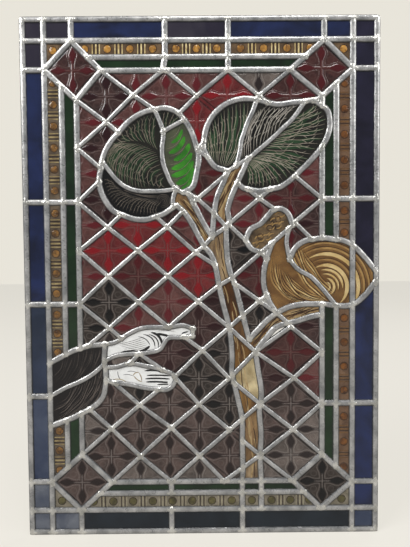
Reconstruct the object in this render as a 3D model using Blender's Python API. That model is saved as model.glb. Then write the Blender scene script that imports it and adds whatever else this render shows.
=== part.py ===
"""A leaded stained glass panel: a soldered network of lead cames with a diamond quarry ground,
three glass borders and a figure of a plant, a gourd and two hands, all in separately cut glass."""

import math

import bmesh
import bpy
from mathutils import Vector
from mathutils.geometry import tessellate_polygon

MM = 0.001

# Driving sizes, in millimetres
PANEL_WIDTH = 460.0
PANEL_HEIGHT = 672.0
LEAD_DEPTH = 6.0
CROWN_HEIGHT = 0.8
GLASS_THICKNESS = 3.0
GLASS_CLEARANCE = 0.3

# Came face widths
EDGE_CAME = 7.5
BAND_CAME = 8.0
FIGURE_CAME = 7.8
INNER_CAME = 6.5
QUARRY_CAME = 6.3

# Distances between came centre lines, going in from the panel's edge came
BLUE_BAND = {"left": 26.75, "right": 30.75, "top": 26.75, "bottom": 28.85}
AMBER_BAND = {"left": 21.5, "right": 21.2, "top": 21.0, "bottom": 22.1}
GREEN_BAND = {"left": 19.0, "right": 18.3, "top": 16.7, "bottom": 15.0}

# The whole layout is drawn on a cartoon ruled in squares, x from its middle and z from its bottom
# edge. These are the squares of the panel's edge and of the cames' middle lines, going in.
CARTOON_RULES = {
    "left": (-230, -226.25, -199.5, -178, -159),
    "right": (230, 226.25, 195.5, 174.3, 156),
    "bottom": (0, 3.75, 32.6, 54.7, 69.7),
    "top": (672, 668.25, 641.5, 620.5, 603.8),
}

# The ground is ruled in half quarries, eight across and sixteen down, and bows a little
HALF_QUARRIES_ACROSS = 8
HALF_QUARRIES_DOWN = 16
SIDEWAYS_BOW = -3.5
UPWARD_BOW = 4.0

# Came ends and crossings closer than this on the cartoon are soldered into one joint
JOINT_REACH = 3.6
# A lattice came whose middle is this near a figure came on the cartoon is left out
CROWDED = 2.5
# A pane or the edge of a pane that comes out smaller than this is filled with solder
SMALLEST_PANE = 20.0
SHORTEST_EDGE = 0.8
NEARLY_STRAIGHT = 0.06

# Places where the figure needs a joint of the lattice: one within this reach is pulled onto them
PULL_REACH = 9.0
PULLED_JOINTS = [
    (-86.2, 572.7), (-8, 371.1), (39.1, 337.8), (-44.1, 404.2), (-121, 404.2), (120.3, 409.2),
    (-44.1, 276.7), (0, 243.4), (69.8, 239.9), (-36.6, 208.6), (119.3, 206.1), (-120, 141),
    (-41.6, 141.5), (118, 138), (27.1, 69.7), (73.5, 501.7), (77, 370.6),
]

# Ties: cames that run on from the ground across the trunk and hold it
TRUNK_TIES = [
    [(-5, 440.2), (34.6, 407.2), (-8, 371.1)],
    [(22.4, 326.2), (39.1, 337.8)],
    [
        (74.8, 307.3), (34.6, 273.7), (69.8, 239.9), (34.6, 206.1), (74.8, 172.1), (34.6, 138),
        (74.8, 103.9), (27.1, 69.7),
    ],
    [(-5, 172.1), (34.6, 138)],
]
# The lattice came nearest to this place is left out, where two quarries are one pane
UNCUT_PLACE = (14.8, 554.9)

# Corner diamonds: how far from the corner of the blue band, then of the ground, their points lie
CORNER_DIAMONDS = {
    ("left", "top"): (35.0, 36.5, 32.0, 37.0),
    ("right", "top"): (37.0, 36.5, 41.0, 33.8),
    ("left", "bottom"): (38.4, 38.4, 38.5, 37.3),
    ("right", "bottom"): (41.1, 35.5, 38.5, 34.8),
}

# Outlines of the figure
OUTER_CURVES = {
    "left leaf": [
        (-32, 432), (-49, 421), (-69, 414.5), (-90, 415.5), (-110.5, 423.5), (-124, 439), (-131.5, 463),
        (-127.5, 489), (-114, 516), (-94, 538), (-70, 552), (-47, 556.3), (-28, 549), (-13, 528),
        (-4.5, 503), (-6, 473), (-14, 453), (-24, 448.5),
    ],
    "right leaf": [
        (34.5, 475.5), (20, 480), (9, 493), (3, 507), (5, 522), (14, 544), (31, 560), (51, 567),
        (72, 566), (92.5, 560.5), (122, 562.5), (145, 564.5), (160, 555), (166, 536), (163, 519),
        (156, 505.9), (140, 487), (118, 466), (98, 453.5), (74, 449.5), (56, 453), (46.5, 460),
    ],
    "left stalk, left": [(-32, 432), (-23.5, 424.5), (-13.5, 410), (-4.5, 393), (3, 379)],
    "left stalk, right": [(-24, 448.5), (-17, 447.5), (-5, 424), (2, 410), (13.5, 391)],
    "right stalk, left": [(34.5, 475.5), (28.5, 461), (20, 441), (16.5, 421), (13.5, 391)],
    "right stalk, right": [(61, 491.5), (53, 474), (46.5, 460), (38.5, 442), (34, 425.5), (32, 404)],
    "trunk, left": [
        (3, 379), (12, 368), (17, 354.5), (22, 328), (28, 301), (35, 273), (38.5, 236), (38.5, 210),
        (45, 182), (51, 152), (51.5, 107), (52, 69.7),
    ],
    "trunk, right": [(32, 404), (32, 382), (34.5, 354.5), (42, 331), (48, 308.5), (55, 280), (61, 257)],
    "trunk, low right": [(69, 241), (72, 220), (76, 178), (76, 130), (76.5, 69.7)],
    "branch, top": [(61, 257), (75.5, 273), (88, 285), (97, 291.5)],
    "branch, bottom": [(69, 241), (82, 257.5), (98, 274), (120.5, 280), (142.5, 286.5), (156, 289)],
    "gourd, bottom": [
        (97, 291.5), (111, 298.5), (130, 302.5), (156, 303), (174.3, 300.5), (195.5, 301.5), (210, 312),
        (226.25, 332),
    ],
    "gourd, top": [
        (114, 361), (121, 376), (137, 386), (156, 388.5), (180, 386), (195.5, 379), (210, 365),
        (226.25, 345),
    ],
    "gourd, left": [(91, 382.5), (84, 362), (80, 342), (82, 320), (88, 305), (97, 291.5)],
    "bud": [
        (77, 370.6), (65, 375), (57, 386), (63, 400), (77, 408), (86, 418), (95, 426), (105, 426),
        (114, 417), (118, 405),
    ],
    "sleeve, top": [(-199.5, 228), (-185, 236), (-168, 244.5), (-150, 250), (-127, 252.5)],
    "cuff": [
        (-127, 252.5), (-128, 236), (-127, 222), (-126, 205), (-130, 185), (-148, 167), (-170, 156),
        (-199.5, 145),
    ],
}
INNER_CURVES = {
    "left leaf, fold": [
        (-59, 554.5), (-50.5, 534), (-48.3, 526), (-50, 505), (-48.3, 484.5), (-40, 463), (-24, 448.5),
    ],
    "left leaf, tip": [(-48.3, 526), (-35.5, 533.5), (-21, 541)],
    "left leaf, underside": [
        (-127.5, 489), (-112, 469), (-95, 455), (-77, 450.5), (-52, 450.5), (-32, 453),
    ],
    "left leaf, foot": [(-35, 452.5), (-36, 443), (-37, 429)],
    "leaf tip": [(-17, 447.5), (-5, 440.2)],
    "leaf link": [(-4.5, 503), (3, 507)],
    "right leaf, rib": [
        (34.5, 475.5), (45, 482), (61, 491.5), (80, 507), (100, 524.5), (120, 544), (134, 563.5),
    ],
    "right leaf, lobe": [(45, 482), (50, 500), (52.5, 516), (60, 537), (67, 552), (73.5, 566)],
    "right stalk, foot": [(16.5, 421), (32, 406)],
    "fork": [(3, 379), (13.5, 391), (32, 404)],
    "branch link": [(97, 291.5), (112, 278)],
    "gourd, fold": [(114, 361), (124, 349), (142, 338), (157, 322), (174.3, 300.5)],
    "gourd, neck": [(113, 401), (110, 385), (114, 361)],
    "bud, base": [(77, 370.6), (91, 382.5), (113, 401), (118, 405)],
    "sleeve, fold": [(-128, 236), (-138, 218), (-160, 204), (-180, 195.5), (-199.5, 184.5)],
    "upper hand": [
        (-127, 252.5), (-112, 256), (-97, 265.5), (-80, 273), (-60, 274.5), (-44, 274), (-25, 276.5),
        (-12, 272), (-13, 262), (-30, 260.5), (-44, 260), (-56, 245), (-72, 241), (-95, 239.5),
        (-114, 237), (-128, 230),
    ],
    "lower hand": [
        (-127, 221.5), (-112, 223), (-95, 227), (-76, 224), (-52, 218), (-40, 213), (-36.6, 208.6), (-38, 199),
        (-50, 191.5), (-72, 194), (-100, 200), (-126, 203),
    ],
}

# A point inside each named pane of the figure, and the pane's glass
FIGURE_PANES = {
    "left_leaf_blade": ((-85, 500), "leaf"),
    "left_leaf_tip": ((-43, 543), "leaf"),
    "left_leaf_lit_lobe": ((-27, 495), "bright leaf"),
    "left_leaf_underside": ((-85, 435), "dark leaf"),
    "left_stalk": ((-14, 425), "bark"),
    "right_leaf_left_lobe": ((30, 520), "leaf"),
    "right_leaf_middle": ((80, 535), "leaf"),
    "right_leaf_lower_half": ((110, 500), "leaf"),
    "right_stalk": ((35, 450), "bark"),
    "fork_of_stalks": ((22, 404), "quarry"),
    "trunk_1": ((22, 375), "bark"),
    "trunk_2": ((38, 300), "bark"),
    "trunk_3": ((47, 235), "gold"),
    "trunk_4": ((58, 205), "gold"),
    "trunk_5": ((53, 175), "gold"),
    "trunk_6": ((65, 135), "bark"),
    "trunk_7": ((58, 105), "bark"),
    "trunk_8": ((64, 82), "bark"),
    "branch": ((90, 278), "bark"),
    "branch_end": ((130, 293), "bark"),
    "gourd_left_lobe": ((110, 330), "gold"),
    "gourd_right_lobe": ((160, 355), "gold"),
    "gourd_edge": ((208, 340), "gold"),
    "bud": ((80, 393), "gold"),
    "upper_sleeve": ((-160, 228), "black"),
    "lower_sleeve": ((-155, 190), "black"),
    "upper_hand": ((-75, 257), "white"),
    "lower_hand": ((-85, 210), "white"),
}

# Colour and roughness of each glass and of the lead
FINISHES = {
    "lead": ((0.33, 0.34, 0.35), 0.45, 0.8),
    "quarry": ((0.10, 0.012, 0.016), 0.15, 0.0),
    "blue": ((0.010, 0.013, 0.060), 0.12, 0.0),
    "leaf": ((0.010, 0.040, 0.012), 0.15, 0.0),
    "bright leaf": ((0.02, 0.30, 0.01), 0.15, 0.0),
    "dark leaf": ((0.012, 0.016, 0.012), 0.15, 0.0),
    "bark": ((0.16, 0.075, 0.015), 0.2, 0.0),
    "gold": ((0.35, 0.19, 0.04), 0.2, 0.0),
    "black": ((0.012, 0.010, 0.010), 0.2, 0.0),
    "white": ((0.75, 0.76, 0.74), 0.25, 0.0),
}

SIDE_SIGN = {"left": -1, "right": 1, "bottom": -1, "top": 1}


EDGE_LINE, BLUE_LINE, AMBER_LINE, GREEN_LINE = (
    {side: rules[n] for side, rules in CARTOON_RULES.items()} for n in (1, 2, 3, 4)
)


def panel_rules(side):
    """Where the panel's edge and the cames' middle lines lie on one side, going in."""
    outward = SIDE_SIGN[side]
    edge = {"left": -PANEL_WIDTH / 2, "right": PANEL_WIDTH / 2, "bottom": 0.0, "top": PANEL_HEIGHT}[side]
    rules = [edge, edge - outward * EDGE_CAME / 2]
    for band in (BLUE_BAND, AMBER_BAND, GREEN_BAND):
        rules.append(rules[-1] - outward * band[side])
    return rules


def ruled(square, low_side, high_side):
    """Where a square of the cartoon lies on the panel: bands keep their widths, the ground stretches."""
    drawn = list(CARTOON_RULES[low_side]) + list(CARTOON_RULES[high_side][::-1])
    real = panel_rules(low_side) + panel_rules(high_side)[::-1]
    for d0, d1, r0, r1 in zip(drawn, drawn[1:], real, real[1:]):
        if square <= d1:
            return r0 + (r1 - r0) * (square - d0) / (d1 - d0)
    return real[-1]


def on_panel(point):
    """A point of the cartoon, on the panel."""
    x, z = point
    return ruled(x, "left", "right"), ruled(z, "bottom", "top")


def rectangle(line):
    """The closed ring of a band's came."""
    left, right, bottom, top = line["left"], line["right"], line["bottom"], line["top"]
    return [(left, bottom), (right, bottom), (right, top), (left, top), (left, bottom)]


def corner_diamond(side, end):
    """The four points of a corner diamond: on the side, on the end, and its two on the ground."""
    out_x, out_z, in_x, in_z = CORNER_DIAMONDS[side, end]
    x_in = -SIDE_SIGN[side]
    z_in = -SIDE_SIGN[end]
    return [
        (BLUE_LINE[side], BLUE_LINE[end] + z_in * out_z),
        (BLUE_LINE[side] + x_in * out_x, BLUE_LINE[end]),
        (GREEN_LINE[side] + x_in * in_x, GREEN_LINE[end]),
        (GREEN_LINE[side], GREEN_LINE[end] + z_in * in_z),
    ]


def corner_joints():
    """Lattice joints that are points of the corner diamonds."""
    joints = {}
    for side, end in CORNER_DIAMONDS:
        points = corner_diamond(side, end)
        near = {"left": 1, "right": HALF_QUARRIES_ACROSS - 1, "top": 0, "bottom": HALF_QUARRIES_DOWN}
        far = {"left": 0, "right": HALF_QUARRIES_ACROSS, "top": 1, "bottom": HALF_QUARRIES_DOWN - 1}
        joints[near[side], near[end]] = points[2]
        joints[far[side], far[end]] = points[3]
    return joints


def lattice_joint(across, down):
    """Where a joint of the quarry lattice lies."""
    corners = corner_joints()
    if (across, down) in corners:
        return corners[across, down]
    x_share = across / HALF_QUARRIES_ACROSS
    z_share = down / HALF_QUARRIES_DOWN
    width = GREEN_LINE["right"] - GREEN_LINE["left"]
    height = GREEN_LINE["top"] - GREEN_LINE["bottom"]
    x = GREEN_LINE["left"] + width * x_share + SIDEWAYS_BOW * math.sin(math.pi * x_share)
    z = GREEN_LINE["top"] - height * z_share + UPWARD_BOW * math.sin(math.pi * z_share)
    place = min(PULLED_JOINTS, key=lambda place: math.dist(place, (x, z)))
    return place if math.dist(place, (x, z)) < PULL_REACH else (x, z)


def border_cames():
    """The edge, the rings between the bands, the corner diamonds and the bars across the bands."""
    cames = [("edge", EDGE_CAME, rectangle(EDGE_LINE))]
    for side in ("left", "right"):
        x = BLUE_LINE[side]
        cames.append(("band", BAND_CAME, [(x, EDGE_LINE["bottom"]), (x, EDGE_LINE["top"])]))
    for end in ("bottom", "top"):
        z = BLUE_LINE[end]
        cames.append(("band", BAND_CAME, [(EDGE_LINE["left"], z), (EDGE_LINE["right"], z)]))
    for line in (AMBER_LINE, GREEN_LINE):
        cames.append(("ring", BAND_CAME, rectangle(line)))
    for side, end in CORNER_DIAMONDS:
        points = corner_diamond(side, end)
        cames.append(("diamond", BAND_CAME, points + points[:1]))
        cames.append(("bar", BAND_CAME, [points[0], (EDGE_LINE[side], points[0][1])]))
        if (side, end) != ("right", "bottom"):
            cames.append(("bar", BAND_CAME, [points[1], (points[1][0], EDGE_LINE[end])]))
    bars_down = [
        (-45, "top", EDGE_LINE, AMBER_LINE),
        (-48, "top", AMBER_LINE, GREEN_LINE),
        (35.5, "top", EDGE_LINE, GREEN_LINE),
        (-42.4, "bottom", EDGE_LINE, BLUE_LINE),
        (-42.4, "bottom", AMBER_LINE, GREEN_LINE),
        (51, "bottom", EDGE_LINE, GREEN_LINE),
        (76, "bottom", BLUE_LINE, GREEN_LINE),
    ]
    for x, end, outer, inner in bars_down:
        cames.append(("bar", BAND_CAME, [(x, outer[end]), (x, inner[end])]))
    bars_across = [
        (437, "left", GREEN_LINE),
        (305, "left", GREEN_LINE),
        (184.5, "left", BLUE_LINE),
        (439, "right", GREEN_LINE),
        (172.5, "right", GREEN_LINE),
    ]
    for z, side, inner in bars_across:
        cames.append(("bar", BAND_CAME, [(EDGE_LINE[side], z), (inner[side], z)]))
    return cames


def lattice_cames():
    """The diagonal cames between neighbouring joints of the quarry ground."""
    cames = []
    for across in range(HALF_QUARRIES_ACROSS):
        for down in range(1 - across % 2, HALF_QUARRIES_DOWN + 1, 2):
            for step in (-1, 1):
                start = (across, down)
                end = (across + 1, down + step)
                if 0 <= end[1] <= HALF_QUARRIES_DOWN:
                    ends = [lattice_joint(*start), lattice_joint(*end)]
                    cames.append(("lattice", QUARRY_CAME, ends))
    uncut = min(cames, key=lambda came: math.dist(middle_of(came[2]), UNCUT_PLACE))
    cames.remove(uncut)
    return [("tie", QUARRY_CAME, points) for points in TRUNK_TIES] + cames


def figure_cames():
    """The cames that follow the figure's outlines."""
    cames = [("figure", FIGURE_CAME, points) for points in OUTER_CURVES.values()]
    cames += [("figure", INNER_CAME, points) for points in INNER_CURVES.values()]
    return cames


def silhouettes():
    """Closed outlines of the figure's parts, inside which the lattice stops."""
    outer = OUTER_CURVES
    inner = INNER_CURVES
    trunk = outer["trunk, left"][::-1] + inner["fork"][1:2]
    trunk += outer["trunk, right"] + outer["trunk, low right"]
    branch = outer["branch, top"] + [(112, 297), (156, 303)] + outer["branch, bottom"][::-1]
    gourd = outer["gourd, left"] + outer["gourd, bottom"]
    gourd += outer["gourd, top"][::-1] + inner["gourd, neck"][::-1]
    return {
        "left leaf": outer["left leaf"],
        "right leaf": outer["right leaf"],
        "left stalk": outer["left stalk, right"] + outer["left stalk, left"][::-1],
        "right stalk": outer["right stalk, left"] + outer["right stalk, right"][::-1],
        "trunk": trunk,
        "branch": branch,
        "gourd": gourd,
        "bud": outer["bud"],
        "sleeve": outer["sleeve, top"] + outer["cuff"],
        "upper hand": inner["upper hand"],
        "lower hand": inner["lower hand"],
    }


def inside(point, outline):
    """True if the point lies inside the closed outline."""
    x, z = point
    found = False
    for (x1, z1), (x2, z2) in zip(outline, outline[1:] + outline[:1]):
        if (z1 > z) != (z2 > z) and x < (x2 - x1) * (z - z1) / (z2 - z1) + x1:
            found = not found
    return found


def share_along(point, start, end):
    """How far along a segment its nearest place to the point is, and the distance to it."""
    dx, dz = end[0] - start[0], end[1] - start[1]
    share = ((point[0] - start[0]) * dx + (point[1] - start[1]) * dz) / (dx * dx + dz * dz)
    share = max(0.0, min(1.0, share))
    return share, math.hypot(point[0] - start[0] - share * dx, point[1] - start[1] - share * dz)


def crossing(first, second):
    """The shares along two segments at which they cross, or None."""
    (a, b), (c, d) = first, second
    rx, rz = b[0] - a[0], b[1] - a[1]
    sx, sz = d[0] - c[0], d[1] - c[1]
    turn = rx * sz - rz * sx
    if abs(turn) < 1e-9:
        return None
    t = ((c[0] - a[0]) * sz - (c[1] - a[1]) * sx) / turn
    u = ((c[0] - a[0]) * rz - (c[1] - a[1]) * rx) / turn
    return (t, u) if 0 <= t <= 1 and 0 <= u <= 1 else None


def soldered(cames):
    """The joints, and the came pieces between them as {(joint, joint): (kind, width)}."""
    runs = [(kind, width, (a, b)) for kind, width, points in cames for a, b in zip(points, points[1:])]
    cuts = [[0.0, 1.0] for _ in runs]
    for m, (_, _, first) in enumerate(runs):
        for n in range(m + 1, len(runs)):
            second = runs[n][2]
            met = crossing(first, second)
            if met:
                cuts[m].append(met[0])
                cuts[n].append(met[1])
            for point, onto in ((first[0], n), (first[1], n), (second[0], m), (second[1], m)):
                share, distance = share_along(point, *runs[onto][2])
                if distance < JOINT_REACH:
                    cuts[onto].append(share)
    places = []
    chains = []
    for (_, _, (a, b)), shares in zip(runs, cuts):
        chain = []
        for share in sorted(set(shares)):
            chain.append(len(places))
            places.append((a[0] + (b[0] - a[0]) * share, a[1] + (b[1] - a[1]) * share))
        chains.append(chain)
    ends = {chain[0] for chain in chains} | {chain[-1] for chain in chains}
    order = sorted(range(len(places)), key=lambda k: (k not in ends, k))
    joints = []
    joint_of = {}
    for k in order:
        near = [(math.dist(places[k], joint), n) for n, joint in enumerate(joints)]
        distance, joint_of[k] = min(near, default=(JOINT_REACH, 0))
        if distance >= JOINT_REACH:
            joint_of[k] = len(joints)
            joints.append(places[k])
    pieces = {}
    for (kind, width, _), chain in zip(runs, chains):
        for a, b in zip(chain, chain[1:]):
            pair = tuple(sorted((joint_of[a], joint_of[b])))
            if pair[0] != pair[1]:
                pieces.setdefault(pair, (kind, width))
    return joints, pieces


def kept_pieces(joints, pieces):
    """The came pieces without those that the figure or a diamond interrupts, and no loose ends."""
    shapes = silhouettes()
    diamonds = [corner_diamond(side, end) for side, end in CORNER_DIAMONDS]
    over_bands = [shapes[name] for name in ("right leaf", "gourd", "sleeve")]
    curves = [points for kind, _, points in figure_cames()]
    kept = {}
    for (a, b), (kind, width) in pieces.items():
        middle = ((joints[a][0] + joints[b][0]) / 2, (joints[a][1] + joints[b][1]) / 2)
        if kind == "ring" and any(inside(middle, shape) for shape in diamonds + over_bands):
            continue
        if kind == "lattice" and any(inside(middle, shape) for shape in shapes.values()):
            continue
        if kind in ("lattice", "tie"):
            gaps = [share_along(middle, p, q)[1] for points in curves for p, q in zip(points, points[1:])]
            if min(gaps) < CROWDED:
                continue
        kept[a, b] = (kind, width)
    while True:
        meets = {}
        for pair in kept:
            for joint in pair:
                meets[joint] = meets.get(joint, 0) + 1
        loose = [pair for pair in kept if min(meets[pair[0]], meets[pair[1]]) == 1]
        if not loose:
            return kept
        for pair in loose:
            del kept[pair]


def area(points):
    """The signed area of a closed outline, positive when it runs anticlockwise."""
    return sum(a[0] * b[1] - b[0] * a[1] for a, b in zip(points, points[1:] + points[:1])) / 2


def came_loops(joints, pieces):
    """Loops of joints: anticlockwise round each opening, and clockwise round the whole network."""
    around = {}
    for a, b in pieces:
        around.setdefault(a, []).append(b)
        around.setdefault(b, []).append(a)
    for a, others in around.items():
        others.sort(key=lambda b: math.atan2(joints[b][1] - joints[a][1], joints[b][0] - joints[a][0]))
    walked = set()
    loops = []
    for start in around:
        for nearest in around[start]:
            loop = []
            a, b = start, nearest
            while (a, b) not in walked:
                walked.add((a, b))
                loop.append(a)
                others = around[b]
                a, b = b, others[others.index(a) - 1]
            if loop:
                loops.append(loop)
    return loops


def simple_loops(points):
    """A closed outline that may cross itself, as outlines that don't."""
    count = len(points)
    for k in range(count):
        for m in range(k + 2, count - (k == 0)):
            first = (points[k], points[k + 1])
            second = (points[m], points[(m + 1) % count])
            met = crossing(first, second)
            if met:
                (ax, az), (bx, bz) = first
                cut = (ax + (bx - ax) * met[0], az + (bz - az) * met[0])
                inner = [cut] + points[k + 1 : m + 1]
                outer = points[: k + 1] + [cut] + points[m + 1 :]
                return simple_loops(inner) + simple_loops(outer)
    return [points]


def without_short_edges(points):
    """An outline with corners that nearly coincide made one."""
    kept = []
    for point in points:
        if not kept or math.dist(point, kept[-1]) >= SHORTEST_EDGE:
            kept.append(point)
    if len(kept) > 1 and math.dist(kept[0], kept[-1]) < SHORTEST_EDGE:
        kept.pop()
    return kept


def moved_in(points, distances):
    """What is left of a closed outline when each edge moves in by its own distance."""
    rows = []
    for (a, b), distance in zip(zip(points, points[1:] + points[:1]), distances):
        length = math.dist(a, b)
        along = ((b[0] - a[0]) / length, (b[1] - a[1]) / length)
        start = (a[0] - along[1] * distance, a[1] + along[0] * distance)
        rows.append((start, along, length))
    corners = []
    for (p, d, length), (q, e, _) in zip(rows[-1:] + rows[:-1], rows):
        turn = d[0] * e[1] - d[1] * e[0]
        if abs(turn) < NEARLY_STRAIGHT:
            corners.append(((p[0] + d[0] * length + q[0]) / 2, (p[1] + d[1] * length + q[1]) / 2))
        else:
            t = ((q[0] - p[0]) * e[1] - (q[1] - p[1]) * e[0]) / turn
            corners.append((p[0] + d[0] * t, p[1] + d[1] * t))
    left = without_short_edges(max(simple_loops(corners), key=area))
    return left if all(inside(corner, points) for corner in left) else []


def came_layout():
    """The joints' squares, the loop round the whole network, and a loop of joints for each space."""
    joints, pieces = soldered(border_cames() + figure_cames() + lattice_cames())
    pieces = kept_pieces(joints, pieces)
    loops = came_loops(joints, pieces)
    signed = [area([joints[k] for k in loop]) for loop in loops]
    around = next(loop[::-1] for loop, size in zip(loops, signed) if size < 0)
    return joints, pieces, around, [loop for loop, size in zip(loops, signed) if size > 0]


def opening(joints, pieces, loop):
    """What the cames' faces leave free inside a loop of joints, or nothing where solder fills it."""
    pairs = zip(loop, loop[1:] + loop[:1])
    halves = [pieces[tuple(sorted(pair))][1] / 2 for pair in pairs]
    left = moved_in([joints[k] for k in loop], halves)
    return left if len(left) > 2 and area(left) > SMALLEST_PANE else []


def middle_of(outline):
    """The mean of an outline's corners."""
    return (
        sum(point[0] for point in outline) / len(outline),
        sum(point[1] for point in outline) / len(outline),
    )


def in_blue_band(point):
    """True if a point of the cartoon lies outside the blue band's inner cames."""
    x, z = point
    across = BLUE_LINE["left"] < x < BLUE_LINE["right"]
    up = BLUE_LINE["bottom"] < z < BLUE_LINE["top"]
    return not (across and up)


def material(name):
    """The finish of one glass or of the lead."""
    colour, roughness, metallic = FINISHES[name]
    found = bpy.data.materials.get(name)
    if found:
        return found
    made = bpy.data.materials.new(name)
    made.use_nodes = True
    shader = made.node_tree.nodes["Principled BSDF"]
    shader.inputs["Base Color"].default_value = (*colour, 1.0)
    shader.inputs["Roughness"].default_value = roughness
    shader.inputs["Metallic"].default_value = metallic
    made.diffuse_color = (*colour, 1.0)
    return made


def new_object(name, mesh_data, finish):
    """Puts a finished mesh in the scene as one named piece."""
    mesh = bpy.data.meshes.new(name)
    mesh_data.to_mesh(mesh)
    mesh_data.free()
    mesh.materials.append(material(finish))
    piece = bpy.data.objects.new(name, mesh)
    bpy.context.scene.collection.objects.link(piece)
    return piece


def ring_of(mesh_data, outline, depth):
    """Vertices along an outline at one depth in the panel, in metres."""
    return [mesh_data.verts.new((x * MM, depth * MM, z * MM)) for x, z in outline]


def wall(mesh_data, near, far):
    """The faces between two rings that have the same corners."""
    for k in range(len(near)):
        n = (k + 1) % len(near)
        mesh_data.faces.new((near[k], near[n], far[n], far[k]))


def glass_pane(name, outline, finish):
    """One cut pane, standing in the middle of the lead's depth."""
    mesh_data = bmesh.new()
    front = ring_of(mesh_data, outline, -GLASS_THICKNESS / 2)
    back = ring_of(mesh_data, outline, GLASS_THICKNESS / 2)
    mesh_data.faces.new(front)
    mesh_data.faces.new(back[::-1])
    wall(mesh_data, front, back)
    bmesh.ops.recalc_face_normals(mesh_data, faces=mesh_data.faces)
    return new_object(name, mesh_data, finish)


def flat_between(mesh_data, rings):
    """Flat faces inside the first ring and outside the others."""
    flat = [vertex for ring in rings for vertex in ring]
    outlines = [[Vector((vertex.co.x / MM, vertex.co.z / MM, 0)) for vertex in ring] for ring in rings]
    for corners in tessellate_polygon(outlines):
        mesh_data.faces.new([flat[k] for k in corners])


def lead_network(joints, around, spaces, glazed_apart):
    """The soldered lead, with every pane that isn't a piece of its own fused in its opening."""
    half_width = PANEL_WIDTH / 2
    outer = [(-half_width, 0), (half_width, 0), (half_width, PANEL_HEIGHT), (-half_width, PANEL_HEIGHT)]
    mesh_data = bmesh.new()
    outer_rings = []
    hole_rings = []
    for depth in (-LEAD_DEPTH / 2, LEAD_DEPTH / 2):
        joint_ring = ring_of(mesh_data, joints, depth + math.copysign(CROWN_HEIGHT, depth))
        outer_rings.append(ring_of(mesh_data, outer, depth))
        flat_between(mesh_data, [outer_rings[-1], [joint_ring[k] for k in around]])
        holes = []
        for number, (loop, opening) in enumerate(spaces):
            hole = ring_of(mesh_data, opening, depth)
            flat_between(mesh_data, [[joint_ring[k] for k in loop]] + [hole] * bool(hole))
            if number in glazed_apart:
                holes.append(hole)
            elif hole:
                glass_ring = ring_of(mesh_data, opening, math.copysign(GLASS_THICKNESS / 2, depth))
                wall(mesh_data, hole, glass_ring)
                mesh_data.faces.new(glass_ring)
        hole_rings.append(holes)
    wall(mesh_data, *outer_rings)
    for front, back in zip(*hole_rings):
        wall(mesh_data, front, back)
    loose = [vertex for vertex in mesh_data.verts if not vertex.link_faces]
    bmesh.ops.delete(mesh_data, geom=loose, context="VERTS")
    bmesh.ops.recalc_face_normals(mesh_data, faces=mesh_data.faces)
    return new_object("lead_network_with_quarries", mesh_data, "lead")


def named_panes(drawn):
    """The panes that are pieces of their own, as {number of the space: (name, finish)}.

    drawn gives the came loop round each space, on the cartoon, or nothing where solder fills it.
    """
    named = {}
    wanted = [(name, point, finish) for name, (point, finish) in FIGURE_PANES.items()]
    for side, end in CORNER_DIAMONDS:
        wanted.append((f"{end}_{side}_corner_diamond", middle_of(corner_diamond(side, end)), "quarry"))
    for name, point, finish in wanted:
        for number, outline in enumerate(drawn):
            if outline and inside(point, outline):
                named[number] = (name, finish)
    middles = {k: middle_of(outline) for k, outline in enumerate(drawn) if outline and k not in named}
    blue = [k for k, middle in middles.items() if in_blue_band(middle)]
    _, half_up = middle_of(rectangle(EDGE_LINE)[1:])
    blue.sort(key=lambda k: math.atan2(middles[k][0], middles[k][1] - half_up))
    for count, number in enumerate(blue, start=1):
        named[number] = (f"blue_border_{count:02d}", "blue")
    return named


def build_panel():
    """Makes the lead and every pane that is a piece of its own."""
    squares, pieces, around, loops = came_layout()
    joints = [on_panel(point) for point in squares]
    openings = [opening(joints, pieces, loop) for loop in loops]
    named = named_panes([[squares[k] for k in loop] if free else [] for loop, free in zip(loops, openings)])
    lead_network(joints, around, list(zip(loops, openings)), named)
    for number, (name, finish) in named.items():
        free = openings[number]
        glass_pane(name, moved_in(free, [GLASS_CLEARANCE] * len(free)), finish)


def clear_scene():
    """Takes out whatever the file opened with."""
    for item in list(bpy.data.objects):
        bpy.data.objects.remove(item, do_unlink=True)


clear_scene()
build_panel()
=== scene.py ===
import math

import bmesh
import bpy
from mathutils import Matrix, Vector, noise
from mathutils.geometry import delaunay_2d_cdt


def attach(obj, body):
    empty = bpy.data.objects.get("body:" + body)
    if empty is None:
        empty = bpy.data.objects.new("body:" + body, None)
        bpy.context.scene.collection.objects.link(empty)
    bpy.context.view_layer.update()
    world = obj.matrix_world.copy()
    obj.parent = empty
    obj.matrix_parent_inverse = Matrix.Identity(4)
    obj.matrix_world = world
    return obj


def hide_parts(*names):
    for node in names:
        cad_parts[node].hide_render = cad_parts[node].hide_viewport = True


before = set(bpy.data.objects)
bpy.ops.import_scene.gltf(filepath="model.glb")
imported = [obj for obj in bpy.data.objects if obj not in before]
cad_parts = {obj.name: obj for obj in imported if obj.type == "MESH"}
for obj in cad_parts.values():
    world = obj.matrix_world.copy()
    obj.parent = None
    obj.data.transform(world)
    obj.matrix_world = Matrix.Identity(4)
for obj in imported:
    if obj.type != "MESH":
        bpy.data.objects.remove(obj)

MM = 0.001

# Driving sizes, in millimetres
PANEL_WIDTH = 460.0
PANEL_HEIGHT = 672.0

# Came face widths
EDGE_CAME = 7.5
BAND_CAME = 8.0
FIGURE_CAME = 7.8
INNER_CAME = 6.5
QUARRY_CAME = 6.3

# The layout is drawn on a cartoon whose squares are millimetres, x from its middle and z from its
# bottom edge. These are the squares of the panel's edge and of the cames' middle lines, going in.
CARTOON_RULES = {
    "left": (-230, -226.25, -199.5, -178, -159),
    "right": (230, 226.25, 195.5, 174.3, 156),
    "bottom": (0, 3.75, 32.6, 54.7, 69.7),
    "top": (672, 668.25, 641.5, 620.5, 603.8),
}

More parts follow.
